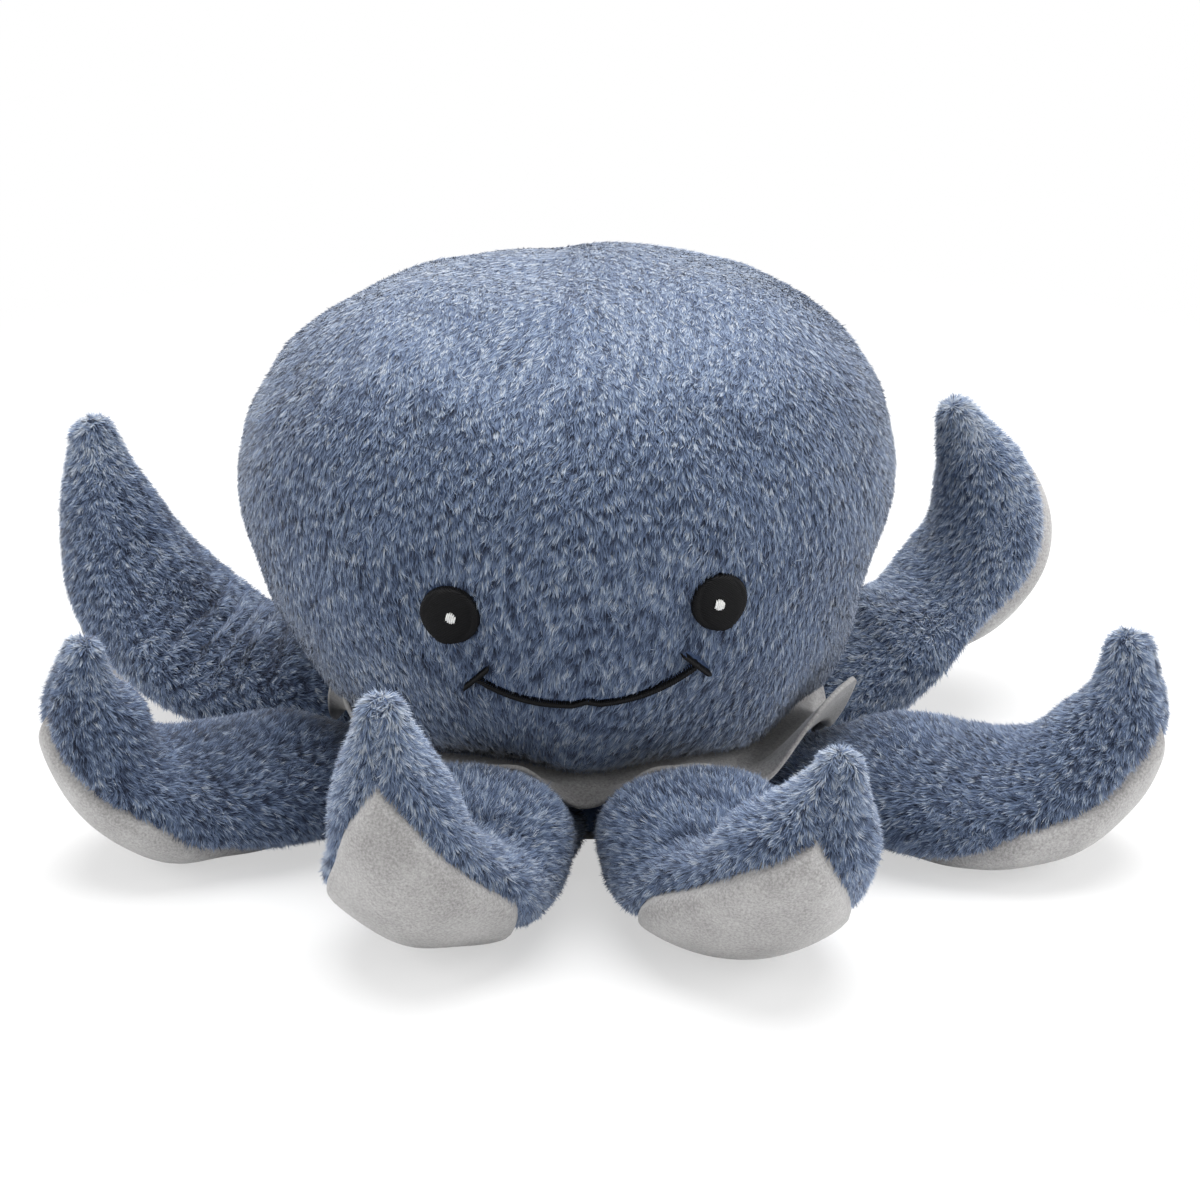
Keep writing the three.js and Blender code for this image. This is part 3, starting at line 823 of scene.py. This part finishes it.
# The face's stitching, fitted over the frame's eyes and mouth: millimetres and degrees
face = {
    "shift": -1,
    "eyeSpacing": 57,
    "eyeRise": 45,
    "eyeTilt": 1,
    "eyeHalfWidths": {"left": 6.3, "right": 5.8},
    "eyeHalfHeight": 6.6,
    "shineHalfSizes": (1.05, 1.35),
    "shineShift": 0.5,
    "mouthShift": 0.4,
    "mouthHalfWidth": 23.3,
    "mouthRise": 30.1,
    "mouthSag": 6.9,
    "mouthSagPower": 2.4,
    "mouthTilt": 1.1,
    "mouthPeak": 0.9,
    "mouthPeakShare": 0.12,
    "cornerLength": 7.3,
    "cornerTiltDeg": 48,
    "eyeOverlap": 0.3,
    "mouthClearance": 0.7,
}
face["mouthPlace"] = face["shift"] + face["mouthShift"]
eyeSides = {"left": -1, "right": 1}
stitchLook = {
    "probe": 0.2,
    "threadRadius": 0.23,
    "sides": 6,
    "knots": 9,
    "endShare": 0.5,
    "swellPower": 4,
    "archPower": 6,
    "base": -1.2,
    "padRings": 8,
    "padSides": 36,
    "padPower": 4,
    "eyeTop": 0.6,
    "eyeEdge": -0.1,
    "fillTiltDeg": 16,
    "fillSpacing": 0.4,
    "borderWidth": 1.9,
    "borderSpacing": 0.42,
    "borderTop": 0.38,
    "shineBase": 0.6,
    "shineTop": 1.05,
    "shineTiltDeg": 78,
    "mouthTop": 0.7,
    "mouthSpacing": 0.46,
    "mouthSlantDeg": 38,
    "mouthStitch": 1.3,
    "mouthThreadShare": 1.2,
}


def eyePlace(sign):
    return face["shift"] + sign * face["eyeSpacing"] / 2, headFloor + face["eyeRise"] + sign * face["eyeTilt"]


def mouthHeight(share):
    sag = face["mouthSag"] * (1 - np.abs(share) ** face["mouthSagPower"])
    peak = face["mouthPeak"] * np.maximum(1 - np.abs(share) / face["mouthPeakShare"], 0)
    return headFloor + face["mouthRise"] - sag + peak + face["mouthTilt"] * share


# Where a stitch lies on the front of the head, and which way the cloth faces there
def facePlace(x, height):
    halfWidth, halfDepth = headSection(height, 0)
    across = (x - leanAt(height)) / halfWidth
    place = [x, -halfDepth * np.sqrt(np.maximum(1 - across**2, 0)), height]
    return np.stack(np.broadcast_arrays(*place), -1)


def faceNormal(x, height):
    reach = stitchLook["probe"]
    across = facePlace(x + reach, height) - facePlace(x - reach, height)
    along = facePlace(x, height + reach) - facePlace(x, height - reach)
    return unit(np.cross(across, along))


# Tubes of thread along lines of points, each line with the way that the cloth faces
def threadTubes(lines, normals, radius=stitchLook["threadRadius"]):
    count, knots = lines.shape[:2]
    sides = stitchLook["sides"]
    along = unit(np.gradient(lines, axis=1))
    aside = unit(np.cross(along, normals))
    upward = np.cross(aside, along)
    fromMiddle = np.abs(np.linspace(-1, 1, knots))
    swell = 1 - (1 - stitchLook["endShare"]) * fromMiddle ** stitchLook["swellPower"]
    angle = np.linspace(0, 2 * np.pi, sides, endpoint=False)
    ring = aside[:, :, None] * np.cos(angle)[:, None] + upward[:, :, None] * np.sin(angle)[:, None]
    points = lines[:, :, None] + ring * (radius * swell)[:, None, None]
    first = np.arange(count)[:, None, None] * knots * sides
    faces = (gridFaces(knots, sides, True)[None] + first).reshape(-1, 4)
    caps = np.arange(count)[:, None] * knots * sides + np.arange(sides)
    return points.reshape(-1, 3), [faces[:, ::-1], caps, caps[:, ::-1] + (knots - 1) * sides]


# Straight stitches from start to end over the face: each arches from the cloth to its top
def stitches(starts, ends, top, base):
    share = np.linspace(0, 1, stitchLook["knots"])
    x = starts[:, :1] + (ends[:, :1] - starts[:, :1]) * share
    height = starts[:, 1:] + (ends[:, 1:] - starts[:, 1:]) * share
    arch = 1 - np.abs(2 * share - 1) ** stitchLook["archPower"]
    outset = base + (top - base) * arch
    normals = faceNormal(x, height)
    return facePlace(x, height) + normals * outset[..., None], normals


# A low oval cushion of thread under the stitches
def ovalPad(middle, halfSizes, top, base):
    share = np.linspace(0, 1, stitchLook["padRings"])[::-1, None]
    angle = np.linspace(0, 2 * np.pi, stitchLook["padSides"], endpoint=False)
    aside = middle[0] + halfSizes[0] * share * np.cos(angle)
    above = middle[1] + halfSizes[1] * share * np.sin(angle)
    outset = base + (top - base) * (1 - share ** stitchLook["padPower"]) + 0 * angle
    grid = facePlace(aside, above) + faceNormal(aside, above) * outset[..., None]
    return grid.reshape(-1, 3), [gridFaces(*grid.shape[:2], True)]


# Parallel stitches that fill an oval, closer than their own width
def fillStitches(middle, halfSizes, tiltDeg, top, base):
    spacing = stitchLook["fillSpacing"]
    tilt = math.radians(tiltDeg)
    along = np.array([math.cos(tilt), math.sin(tilt)])
    aside = np.array([-math.sin(tilt), math.cos(tilt)])
    reach = math.hypot(*(halfSizes * aside))
    places = aside * np.arange(-reach + spacing / 2, reach, spacing)[:, None]
    scaledPlaces, scaledAlong = places / halfSizes, along / halfSizes
    square = scaledAlong @ scaledAlong
    halfway = -(scaledPlaces @ scaledAlong) / square
    half = np.sqrt(np.maximum(halfway**2 - (np.sum(scaledPlaces**2, -1) - 1) / square, 0))
    starts, ends = [middle + places + along * end[:, None] for end in (halfway - half, halfway + half)]
    return stitches(starts, ends, top, base)


def borderStitches(middle, halfSizes):
    length = 2 * np.pi * math.sqrt(np.sum(halfSizes**2) / 2)
    angle = np.linspace(0, 2 * np.pi, round(length / stitchLook["borderSpacing"]), endpoint=False)
    aim = np.stack([np.cos(angle), np.sin(angle)], -1) * halfSizes
    inward = unit(aim) * stitchLook["borderWidth"]
    return stitches(middle + aim, middle + aim - inward, stitchLook["borderTop"], stitchLook["base"])


# Parts of thread as one piece, which stands for its solid and rides on the toy's body
def addStitches(name, solid, thread, parts):
    groups = []
    before = 0
    for places, faces in parts:
        groups += [group + before for group in faces]
        before += len(places)
    piece = addPiece(name, np.concatenate([places for places, _ in parts]), groups, thread)
    tie(solid)
    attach(piece, "body")


def makeEye(side, sign):
    middle = np.array(eyePlace(sign))
    halfSizes = np.array([face["eyeHalfWidths"][side], face["eyeHalfHeight"]])
    top = stitchLook["eyeTop"]
    fill = fillStitches(middle, halfSizes, sign * stitchLook["fillTiltDeg"], top, stitchLook["eyeEdge"])
    pad = ovalPad(middle, halfSizes, top - stitchLook["threadRadius"], stitchLook["base"])
    parts = [pad, threadTubes(*fill), threadTubes(*borderStitches(middle, halfSizes))]
    addStitches(f"eye_{side}_stitches", f"eye_{side}", "thread_black", parts)
    shineSizes = np.array(face["shineHalfSizes"])
    shineMiddle = middle - np.array([sign * face["shineShift"], 0])
    heights = stitchLook["shineTop"], stitchLook["shineBase"]
    shine = fillStitches(shineMiddle, shineSizes, stitchLook["shineTiltDeg"], *heights)
    addStitches(f"eye_{side}_shine", f"eye_{side}_highlight", "thread_white", [threadTubes(*shine)])


# Slanted stitches side by side along a line of the face
def lineOfStitches(name, solid, places):
    along = unit(np.gradient(places, axis=0))
    slant = math.radians(stitchLook["mouthSlantDeg"])
    across = np.stack([-along[:, 1], along[:, 0]], -1)
    half = (along * math.cos(slant) + across * math.sin(slant)) * stitchLook["mouthStitch"] / 2
    lines = stitches(places - half, places + half, stitchLook["mouthTop"], stitchLook["base"])
    radius = stitchLook["threadRadius"] * stitchLook["mouthThreadShare"]
    addStitches(name, solid, "thread_black", [threadTubes(*lines, radius)])


def makeMouth():
    length = 2 * math.hypot(face["mouthHalfWidth"], face["mouthSag"])
    share = np.linspace(-1, 1, round(length / stitchLook["mouthSpacing"]))
    places = np.stack([face["mouthPlace"] + face["mouthHalfWidth"] * share, mouthHeight(share)], -1)
    lineOfStitches("mouth_stitches", "mouth_line", places)
    tilt = math.radians(face["cornerTiltDeg"])
    ends = np.linspace(-1, 1, round(face["cornerLength"] / stitchLook["mouthSpacing"]))[:, None]
    for side, sign in eyeSides.items():
        along = np.array([-sign * math.cos(tilt), math.sin(tilt)]) * face["cornerLength"] / 2
        middle = np.array([face["mouthPlace"] + sign * face["mouthHalfWidth"], float(mouthHeight(sign))])
        lineOfStitches(f"mouth_corner_{side}_stitches", f"mouth_corner_{side}", middle + along * ends)


# True for points over the stitched places, where no pile shows
def overStitching(points):
    x, y, height = np.moveaxis(points, -1, 0)
    covered = np.zeros(x.shape, bool)
    for side, sign in eyeSides.items():
        eyeX, eyeHeight = eyePlace(sign)
        across = (x - eyeX) / (face["eyeHalfWidths"][side] - face["eyeOverlap"])
        above = (height - eyeHeight) / (face["eyeHalfHeight"] - face["eyeOverlap"])
        covered |= across**2 + above**2 < 1
        covered |= nearBar(x, height, sign)
    share = (x - face["mouthPlace"]) / face["mouthHalfWidth"]
    onMouth = np.abs(height - mouthHeight(np.clip(share, -1, 1))) < face["mouthClearance"]
    covered |= onMouth & (np.abs(share) < 1)
    return covered & (y < 0)


def nearBar(x, height, sign):
    tilt = math.radians(face["cornerTiltDeg"])
    offsetX = x - face["mouthPlace"] - sign * face["mouthHalfWidth"]
    offsetHeight = height - float(mouthHeight(sign))
    along = -sign * math.cos(tilt) * offsetX + math.sin(tilt) * offsetHeight
    aside = math.sin(tilt) * offsetX + sign * math.cos(tilt) * offsetHeight
    return (np.abs(along) < face["cornerLength"] / 2) & (np.abs(aside) < face["mouthClearance"])


# Way of the nap over the head: it runs down and forward, and turns to run backward behind the crown
headFlow = {
    "lean": 0.14,
    "part": 1.1,
    "partWidth": 13,
    "ahead": 1.0,
    "down": 0.8,
    "turnFrom": 24,
    "turnTo": 50,
    "whorl": 3,
    # Painted shade by height: how much darker the lower head is painted than its top
    "lowerPaintedShade": -0.02,
    "crownFrom": 0.55,
    "crownFlatness": 0.8,
    # Painted light: how much lighter the crown's strands are painted where the head faces up
    "crownPaintedLight": 0.1,
    # Painted shade: how much darker the parting along the crown's dart is painted
    "dartPaintedShade": 0.16,
    "dartWidth": 1.1,
    "pressed": 0.45,
    "probes": 7,
}


def headPileFlow(points, normals):
    x, y, height = np.moveaxis(points, -1, 0)
    dartSide = (x - headCloth["dartPlace"]) / headFlow["partWidth"]
    parting = headFlow["part"] * dartSide * np.exp(-(dartSide**2)) * smoothStep(widestHeight, headTop, height)
    turned = smoothStep(headFlow["turnFrom"], headFlow["turnTo"], y)
    sideways = parting - headFlow["lean"] + headFlow["whorl"] * turned * (1 - turned)
    backward = headFlow["ahead"] * (2 * turned - 1)
    return onSurface(np.stack([sideways, backward, np.full(len(points), -headFlow["down"])], -1), normals)


def coversStitches(roots, tips):
    share = np.linspace(0, 1, headFlow["probes"])[:, None]
    return np.any(overStitching(roots[:, None] + (tips - roots)[:, None] * share), axis=1)


def growHeadPile(name, roots, normals, draw):
    flow = unit(headPileFlow(roots, normals))
    upward = smoothStep(headFlow["crownFrom"], 1, normals[:, 2:])
    flatness = headFlow["crownFlatness"] * upward
    heading, tips = strandTips(roots, normals, flow, headPileLook, draw, flatness)
    pressed = coversStitches(roots, tips)
    tips[pressed] = roots[pressed] + (tips - roots)[pressed] * headFlow["pressed"]
    keep = ~coversStitches(roots, tips)
    # Painted shade by height: the head's tone shifts with its height
    height = (roots[:, 2] - headFloor) / (headTop - headFloor)
    # Painted light: strands on the crown, where the head faces up, are painted lighter
    shift = (height - 0.5) * headFlow["lowerPaintedShade"] + upward[:, 0] * headFlow["crownPaintedLight"]
    # Painted shade: strands along the dart's parting are painted darker
    nearDart = bell(roots[:, 0] - headCloth["dartPlace"], headFlow["dartWidth"]) * (roots[:, 1] < 0)
    onDart = smoothStep(widestHeight, headTop, roots[:, 2]) * nearDart
    tones = strandTones(roots, headPileLook, draw, shift - onDart * headFlow["dartPaintedShade"])
    kept = [values[keep] for values in (roots, tips, heading, normals, tones)]
    pile = addPile(name, *kept, headPileLook, draw)
    tie()
    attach(pile, "body")


# Head: two plush halves over one stuffing, with the pile planted on each half
def makeHeadHalf(side, middleDeg):
    half = np.linspace(-np.pi / 2, np.pi / 2, headCloth["columns"])
    azimuths = math.radians(middleDeg) + half * (1 - neck["seamGap"] / 2 / head["halfWidth"])
    grid = headGrid(azimuths, 0)
    skin = addShell(f"head_{side}_plush", grid, headCloth["thickness"], "plush_ground")
    tie(f"head_{side}_panel")
    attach(skin, "body")
    draw = np.random.default_rng(headPileLook["seed"] + round(middleDeg))
    pileRow = headCloth["neckRows"] + headCloth["underRows"] // 2
    middle = headCloth["columns"] // 2
    for part, columns in (("first", slice(None, middle + 1)), ("second", slice(middle, None))):
        _, roots, normals = rootsOn(grid[pileRow:, columns], headPileLook, draw)
        growHeadPile(f"head_{side}_pile_{part}", roots, normals, draw)


def makeHeadStuffing():
    azimuths = np.linspace(0, 2 * np.pi, headCloth["columns"])
    grid = headGrid(azimuths, headCloth["thickness"] + headCloth["stuffingGap"])
    middle = np.broadcast_to(np.array([0, 0, grid[0, 0, 2]]), grid[:1].shape)
    stuffing = addStuffing("head_stuffing", np.concatenate([middle, grid]))
    tie("head_filling")
    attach(stuffing, "body")


makeHeadHalf("front", 0)
makeHeadHalf("rear", 180)
makeHeadStuffing()
print("head: done")
for side, sign in eyeSides.items():
    makeEye(side, sign)
makeMouth()
print("face: done")

# Arms: plush over the top and sides, suede along the underside
armCloth = {
    "inset": 1.8,
    "thickness": 0.45,
    "fillShare": 0.8,
    "stuffingFillShare": 0.75,
    "stuffingGap": 0.5,
    "capRows": 9,
    "bodyRows": 74,
    "skinColumns": 61,
    "panelColumns": 31,
    "suedeInset": 0.2,
    "suedeThickness": 0.8,
    "panelRootRound": 12,
    "seamDepth": 1.0,
    "seamWidth": 2.2,
    "suedeSeamWidth": 2.6,
    "lumpSize": 24,
    "lumpDepth": 0.5,
    "creaseSpacing": 8.5,
    "creaseShares": (0.1, 0.22, 0.5, 0.72),
    "creaseWander": 0.3,
    # Painted shade: how much darker the pile is painted in the creases' valleys
    "creasePaintedShade": 0.26,
    "bendSpan": 0.13,
    "bulgeShare": 0.8,
    "flareShare": 0.86,
    "flareSpan": 0.12,
    "shoulderRise": 3,
    "frontShoulderRise": 10,
    "shoulderPlace": 24,
    "shoulderLength": 15,
    "bendLength": 30,
    "seed": 60,
}


def armLengths(inset):
    quarter = np.linspace(0, np.pi / 2, armCloth["capRows"])
    rootCap = -(arm["rootRadius"] - inset) * np.cos(quarter)
    middle = np.linspace(0, arm["length"], armCloth["bodyRows"])[1:-1]
    tipCap = arm["length"] + (arm["tipRadius"] - inset) * np.sin(quarter)
    return np.concatenate([rootCap, middle, tipCap])[:, None]


# Half angle of the suede, which is round at its root and pointed short of the tip, and how far it is turned
def suedeAngles(lie, length):
    rootShare = 1 - np.clip(1 - length / armCloth["panelRootRound"], 0, 1) ** 2
    halfAngle = panelHalfAngle(length, lie["suedePower"]) * np.sqrt(rootShare) * lie["suedeShare"]
    return halfAngle, math.radians(lie["suedeTurnDeg"])


# Distance over the cloth from the seam between plush and suede, from the plush side
def seamDistance(lie, length, angle):
    across, through = armHalfSizes(length)
    halfAngle, turn = suedeAngles(lie, length)
    fromMiddle = np.minimum((angle - turn) % (2 * np.pi), (turn - angle) % (2 * np.pi))
    pace = np.hypot(across * np.cos(fromMiddle), through * np.sin(fromMiddle))
    return (fromMiddle - halfAngle) * pace


# How deep in a crease across the arm's top each point lies, 0 to 1
def creaseAt(grid, length, angle):
    uneven = lumps(grid, armCloth["lumpSize"], armCloth["seed"] + 1) * armCloth["creaseWander"]
    valley = (1 + np.sin(2 * np.pi * (length / armCloth["creaseSpacing"] + uneven))) / 2
    fadeIn, full, fadeOut, gone = np.array(armCloth["creaseShares"]) * arm["length"]
    fade = smoothStep(fadeIn, full, length) * (1 - smoothStep(fadeOut, gone, length))
    return valley**2 * smoothStep(0, 1, -np.cos(angle)) * fade


# How far the arm's cloth is drawn in, and where it is less than 0, how far it stands out
def armDents(lie, grid, length, angle):
    share = length / arm["length"]
    span = armCloth["bendSpan"]
    upper, under, left, right = [
        smoothStep(0, 1, side) for side in (-np.cos(angle), np.cos(angle), -np.sin(angle), np.sin(angle))
    ]
    uneven = armCloth["lumpDepth"] * lumps(grid, armCloth["lumpSize"], armCloth["seed"])
    rise = armCloth["frontShoulderRise" if "front" in lie["side"] else "shoulderRise"]
    shoulder = rise * bell(length - armCloth["shoulderPlace"], armCloth["shoulderLength"])
    bunch = lie["bunch"] * bell(share - lie["bunchShare"], lie["bunchSpan"])
    belly = lie["belly"] * bell(share - lie["bellyShare"], span)
    belly = belly - lie["hollow"] * bell(share - lie["hollowShare"], span)
    flare = lie["flare"] * bell(share - armCloth["flareShare"], armCloth["flareSpan"])
    middle = np.sin(np.pi * np.clip(share, 0, 1)) ** 2
    tuck = (lie["leftTuck"] * left + lie["rightTuck"] * right) * middle
    nearBulge = bell(share - armCloth["bulgeShare"], span)
    bulge = (lie["leftBulge"] * left + lie["rightBulge"] * right) * nearBulge
    crease = lie["creases"] * creaseAt(grid, length, angle)
    return crease + uneven + tuck - bulge - (shoulder + bunch) * upper - belly * under - flare


def armGrid(lie, length, angle, inset, seamDepth=armCloth["seamDepth"], seamWidth=armCloth["seamWidth"]):
    grid = armPlace(lie, length, angle, inset)
    normals = gridNormals(grid)
    seam = seamDepth * bell(seamDistance(lie, length, angle), seamWidth)
    grid = grid - normals * (armDents(lie, grid, length, angle) + seam)[..., None]
    grid[..., 2] = np.maximum(grid[..., 2], 0)
    return grid


# Hides the arm's solid that a piece stands for and bakes the piece's place into its mesh
def hangOnArm(piece, lie, part=None):
    body = f"arm_{lie['side']}"
    tie(f"{body}_{part}" if part else None)
    start = seatOf(lie) + np.array([0, 0, arm["rootRadius"] - arm["flatDepth"]])
    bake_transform(piece)


# Gives what the pile needs: the cloth's grid, its distance from the seam, its lengths and its creases
def makeArmSkin(lie):
    length = armLengths(armCloth["inset"])
    edge, turn = suedeAngles(lie, length)
    angle = turn + edge + (2 * np.pi - 2 * edge) * np.linspace(0, 1, armCloth["skinColumns"])
    grid = armGrid(lie, length, angle, armCloth["inset"])
    skin = addShell(f"arm_{lie['side']}_plush", grid, armCloth["thickness"], "plush_ground")
    hangOnArm(skin, lie, "cover")
    return grid, seamDistance(lie, length, angle), length, creaseAt(grid, length, angle) * lie["creases"]


def makeArmSuede(lie):
    last = panel["endShare"] * arm["length"]
    length = (last * np.sin(np.linspace(0, np.pi / 2, armCloth["bodyRows"])))[:, None]
    depth = armCloth["inset"] + armCloth["seamDepth"] - armCloth["suedeInset"]
    halfAngle, turn = suedeAngles(lie, length)
    angle = turn + halfAngle * np.linspace(-1, 1, armCloth["panelColumns"])
    grid = armGrid(lie, length, angle, armCloth["suedeInset"], depth, armCloth["suedeSeamWidth"])
    suede = addShell(f"arm_{lie['side']}_suede", grid, armCloth["suedeThickness"], "suede")
    hangOnArm(suede, lie, "panel")


def makeArmStuffing(lie):
    inset = armCloth["inset"] + armCloth["thickness"] + armCloth["stuffingGap"]
    length = armLengths(inset)
    angle = np.linspace(0, 2 * np.pi, armCloth["skinColumns"])[None]
    grid = armGrid(lie, length, angle + 0 * length, inset)
    grid[..., 2] = np.maximum(grid[..., 2], inset)
    stuffing = addStuffing(f"arm_{lie['side']}_stuffing", grid)
    hangOnArm(stuffing, lie, "filling")


armPileLook = {
    **pileLook,
    "length": 2,
    "lengthSpread": 0.18,
    "width": 0.34,
    "liftDeg": 32,
    "liftSpreadDeg": 11,
    "rollDeg": 20,
    "swirl": 0.22,
    "swirlSize": 18,
    "tuft": 0.42,
    "tuftSize": 2.8,
    "stray": 0.2,
    "curl": 0.12,
    "tone": 0.46,
    "toneSpread": 0.18,
    "clumpTone": 0.32,
    "clumpSize": 1.5,
    "clumpStretch": (1, 1, 0.8),
    "rootward": 0.7,
    "downward": 0.35,
    "overEdge": 0.8,
    "edgeReach": 3,
    "tipReach": 14,
    # Painted light: how much lighter the pile is painted towards the arm's end
    "tipPaintedLight": 0.22,
    "seedStep": 20,
    "seed": 200,
}


def makeArmPile(lie, number, grid, fromSeam, length, valleys):
    draw = np.random.default_rng(armPileLook["seed"] + number)
    seeds, roots, normals = rootsOn(grid, armPileLook, draw)
    along = unit(valuesAt(np.gradient(grid, axis=0), seeds))
    reach = valuesAt(np.broadcast_to(length, grid.shape[:2]), seeds)
    fromEdge = np.gradient(fromSeam, axis=1)[..., None] * np.gradient(grid, axis=1)
    outward = -unit(valuesAt(fromEdge, seeds))
    nearEdge = np.exp(-valuesAt(fromSeam, seeds) / armPileLook["edgeReach"])
    flow = -along * armPileLook["rootward"] - np.array([0, 0, armPileLook["downward"]])
    flow = flow + outward * (nearEdge * armPileLook["overEdge"])[:, None]
    look = {**armPileLook, "seed": armPileLook["seed"] + number * armPileLook["seedStep"]}
    heading, tips = strandTips(roots, normals, unit(onSurface(flow, normals)), look, draw)
    # Painted light: strands towards the arm's end are painted lighter, and each arm's tone paints the whole
    # arm lighter or darker
    tipShare = smoothStep(arm["length"] - armPileLook["tipReach"], arm["length"], reach)
    shift = lie["tone"] + tipShare * armPileLook["tipPaintedLight"]
    # Painted shade: the pile is painted darker in the valleys of the creases
    tones = strandTones(roots, look, draw, shift - valuesAt(valleys, seeds) * armCloth["creasePaintedShade"])
    pile = addPile(f"arm_{lie['side']}_pile", roots, tips, heading, normals, tones, look, draw)
    hangOnArm(pile, lie)


for number, lie in enumerate(armLies):
    skinParts = makeArmSkin(lie)
    makeArmSuede(lie)
    makeArmStuffing(lie)
    makeArmPile(lie, number, *skinParts)
print("arms: done")

# Collar: one wavy ring of suede between head and arms
collarCut = {
    "columns": 480,
    "innerRows": 5,
    "outerRows": 12,
    "rippleDepth": 0.35,
    "rippleSize": 16,
    "sag": 2.6,
    # Azimuth and width in degrees, then lift, reach and drop in millimetres
    "petals": [
        (3, 12, 2, -1, 0),
        (22, 12, -4, -4.5, 0),
        (-24, 14, -4, -4.5, 0),
        (54, 11, 8, 1.5, 0),
        (72, 10, 4, -1, 0),
        (90, 10, -4, -7, 6),
        (112, 18, -8, -8, 0),
        (-72, 10, 3.5, -4, 0),
        (-112, 18, -8, -8, 0),
    ],
    "seed": 80,
}


# Share is 1 at the rim, 0 at the head's edge and -1 at the neck
def collarTop(azimuthDeg, share):
    direction = directionOf(azimuthDeg)
    wave = waveAt(azimuthDeg)
    inner = reachTowards(direction, neck["halfWidth"], neck["halfDepth"]) + neck["seamGap"]
    edge = reachTowards(direction, *headSection(headFloor, 0))
    outer = edge + collar["overhang"] - collar["tuck"] * (1 - wave) / 2
    rim = (collar["lift"] - collar["dip"]) / 2 + wave * (collar["lift"] + collar["dip"]) / 2
    drop = collarCut["sag"] * (1 - wave) / 2
    for middleDeg, widthDeg, petalLift, petalReach, petalDrop in collarCut["petals"]:
        near = bell(azimuthDeg - middleDeg, widthDeg)
        outer = outer + petalReach * near
        rim = rim + petalLift * near
        drop = drop + petalDrop * near
    radius = edge + np.where(share > 0, (outer - edge) * share, (edge - inner) * share)
    place = direction * radius[..., None]
    sagShare = np.where(share > 0, 1 - share, (1 + share) ** 2)
    place[..., 2] = collarHeight + collar["thickness"] + rim * np.maximum(share, 0)
    place[..., 2] -= drop * sagShare
    return place


def makeCollar():
    azimuthDeg = np.linspace(-180, 180, collarCut["columns"], endpoint=False)[None]
    outerShares = np.linspace(1, 0, collarCut["outerRows"])
    innerShares = np.linspace(0, -1, collarCut["innerRows"])[1:]
    share = np.concatenate([outerShares, innerShares])[:, None]
    top = collarTop(azimuthDeg + 0 * share, share + 0 * azimuthDeg)
    ripple = lumps(top, collarCut["rippleSize"], collarCut["seed"]) * collarCut["rippleDepth"]
    top[..., 2] += ripple * np.maximum(share, 0)
    piece = addShell("collar_suede", top, collar["thickness"], "suede", wrapped=True)
    tie("collar")
    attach(piece, "body")


# Base: the suede disc that closes the neck
baseCut = {"rings": 12, "sides": 72, "crown": 0.25}


def makeBase():
    share = np.linspace(0, 1, baseCut["rings"])[:, None]
    azimuth = np.linspace(0, 2 * np.pi, baseCut["sides"])[None]
    places = [neck["halfWidth"] * share * np.sin(azimuth), -neck["halfDepth"] * share * np.cos(azimuth)]
    dished = collar["thickness"] - baseCut["crown"] + baseCut["crown"] * share**2 + 0 * azimuth
    top = np.stack([*places, dished], -1)[:, ::-1]
    piece = addShell("base_suede", top, collar["thickness"] - baseCut["crown"], "suede")
    tie("base_disc")
    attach(piece, "body")


makeCollar()
makeBase()
print("collar and base: done")

# Floor, light and background
studio = {
    "floorSize": 4000,
    "floor": 0.9,
    "fadeFrom": 150,
    "fadeTo": 320,
    "worldLight": 0.37,
    "whiteningShare": 0.55,
    "lamps": {
        "key": {"place": (60, 250, 1080), "size": 1300, "power": 21},
        "left": {"place": (-1000, -250, 500), "size": 800, "power": 5},
        "right": {"place": (1000, -250, 500), "size": 800, "power": 6.5},
    },
}
white = (1, 1, 1, 1)


# 1 for rays straight from the camera, from a shine or through glass
def seenRays(nodes):
    paths = nodes.node("ShaderNodeLightPath", {})
    seen = paths.output("Is Camera Ray") + paths.output("Is Glossy Ray") + paths.output("Is Transmission Ray")
    return nodes.node("ShaderNodeClamp", {}, seen)


# The camera sees the floor partly as plain white: wholly so far from the toy, where no shadow falls
def floorPaint():
    grey = studio["floor"]
    paint = Paint("pale_floor", {"Roughness": 0.9, "Base Color": (grey, grey, grey, 1)})
    place = paint.node("ShaderNodeTexCoord", {}).output("Object")
    reach = paint.node("ShaderNodeVectorMath", {"operation": "LENGTH"}, place).output("Value")
    fade = studio["fadeFrom"] * mm, studio["fadeTo"] * mm
    far = paint.node("ShaderNodeMapRange", {"interpolation_type": "SMOOTHSTEP"}, reach, *fade)
    whiteShare = far * (1 - studio["whiteningShare"]) + studio["whiteningShare"]
    plain = paint.node("ShaderNodeEmission", {}, white, 1)
    lit = Wire(paint, paint.tree.nodes["Principled BSDF"].outputs[0])
    mixed = paint.node("ShaderNodeMixShader", {}, whiteShare * seenRays(paint), lit, plain)
    paint.feedOwn("Material Output", {"Surface": mixed})
    return paint.material


def addFloor():
    half = studio["floorSize"] / 2
    corners = np.array([[-half, -half, 0], [half, -half, 0], [half, half, 0], [-half, half, 0]])
    paints["floor"] = floorPaint()
    addPiece("floor", corners, [[[0, 1, 2, 3]]], "floor")


def addWorld():
    world = bpy.data.worlds.new("studio")
    bpy.context.scene.world = world
    nodes = Nodes(world)
    strength = nodes.node("ShaderNodeMapRange", {}, seenRays(nodes), **{"To Min": studio["worldLight"]})
    nodes.feedOwn("Background", {"Color": white, "Strength": strength})


def addLamp(name, place, size, power):
    data = bpy.data.lights.new(name, "AREA")
    data.shape = "DISK"
    data.size = size * mm
    data.energy = power
    standAt(name, data, Vector(place), Vector(place))


addFloor()
addWorld()
for lampName, lamp in studio["lamps"].items():
    addLamp(lampName, **lamp)
bpy.context.scene.view_settings.view_transform = "Standard"
print("studio: done")
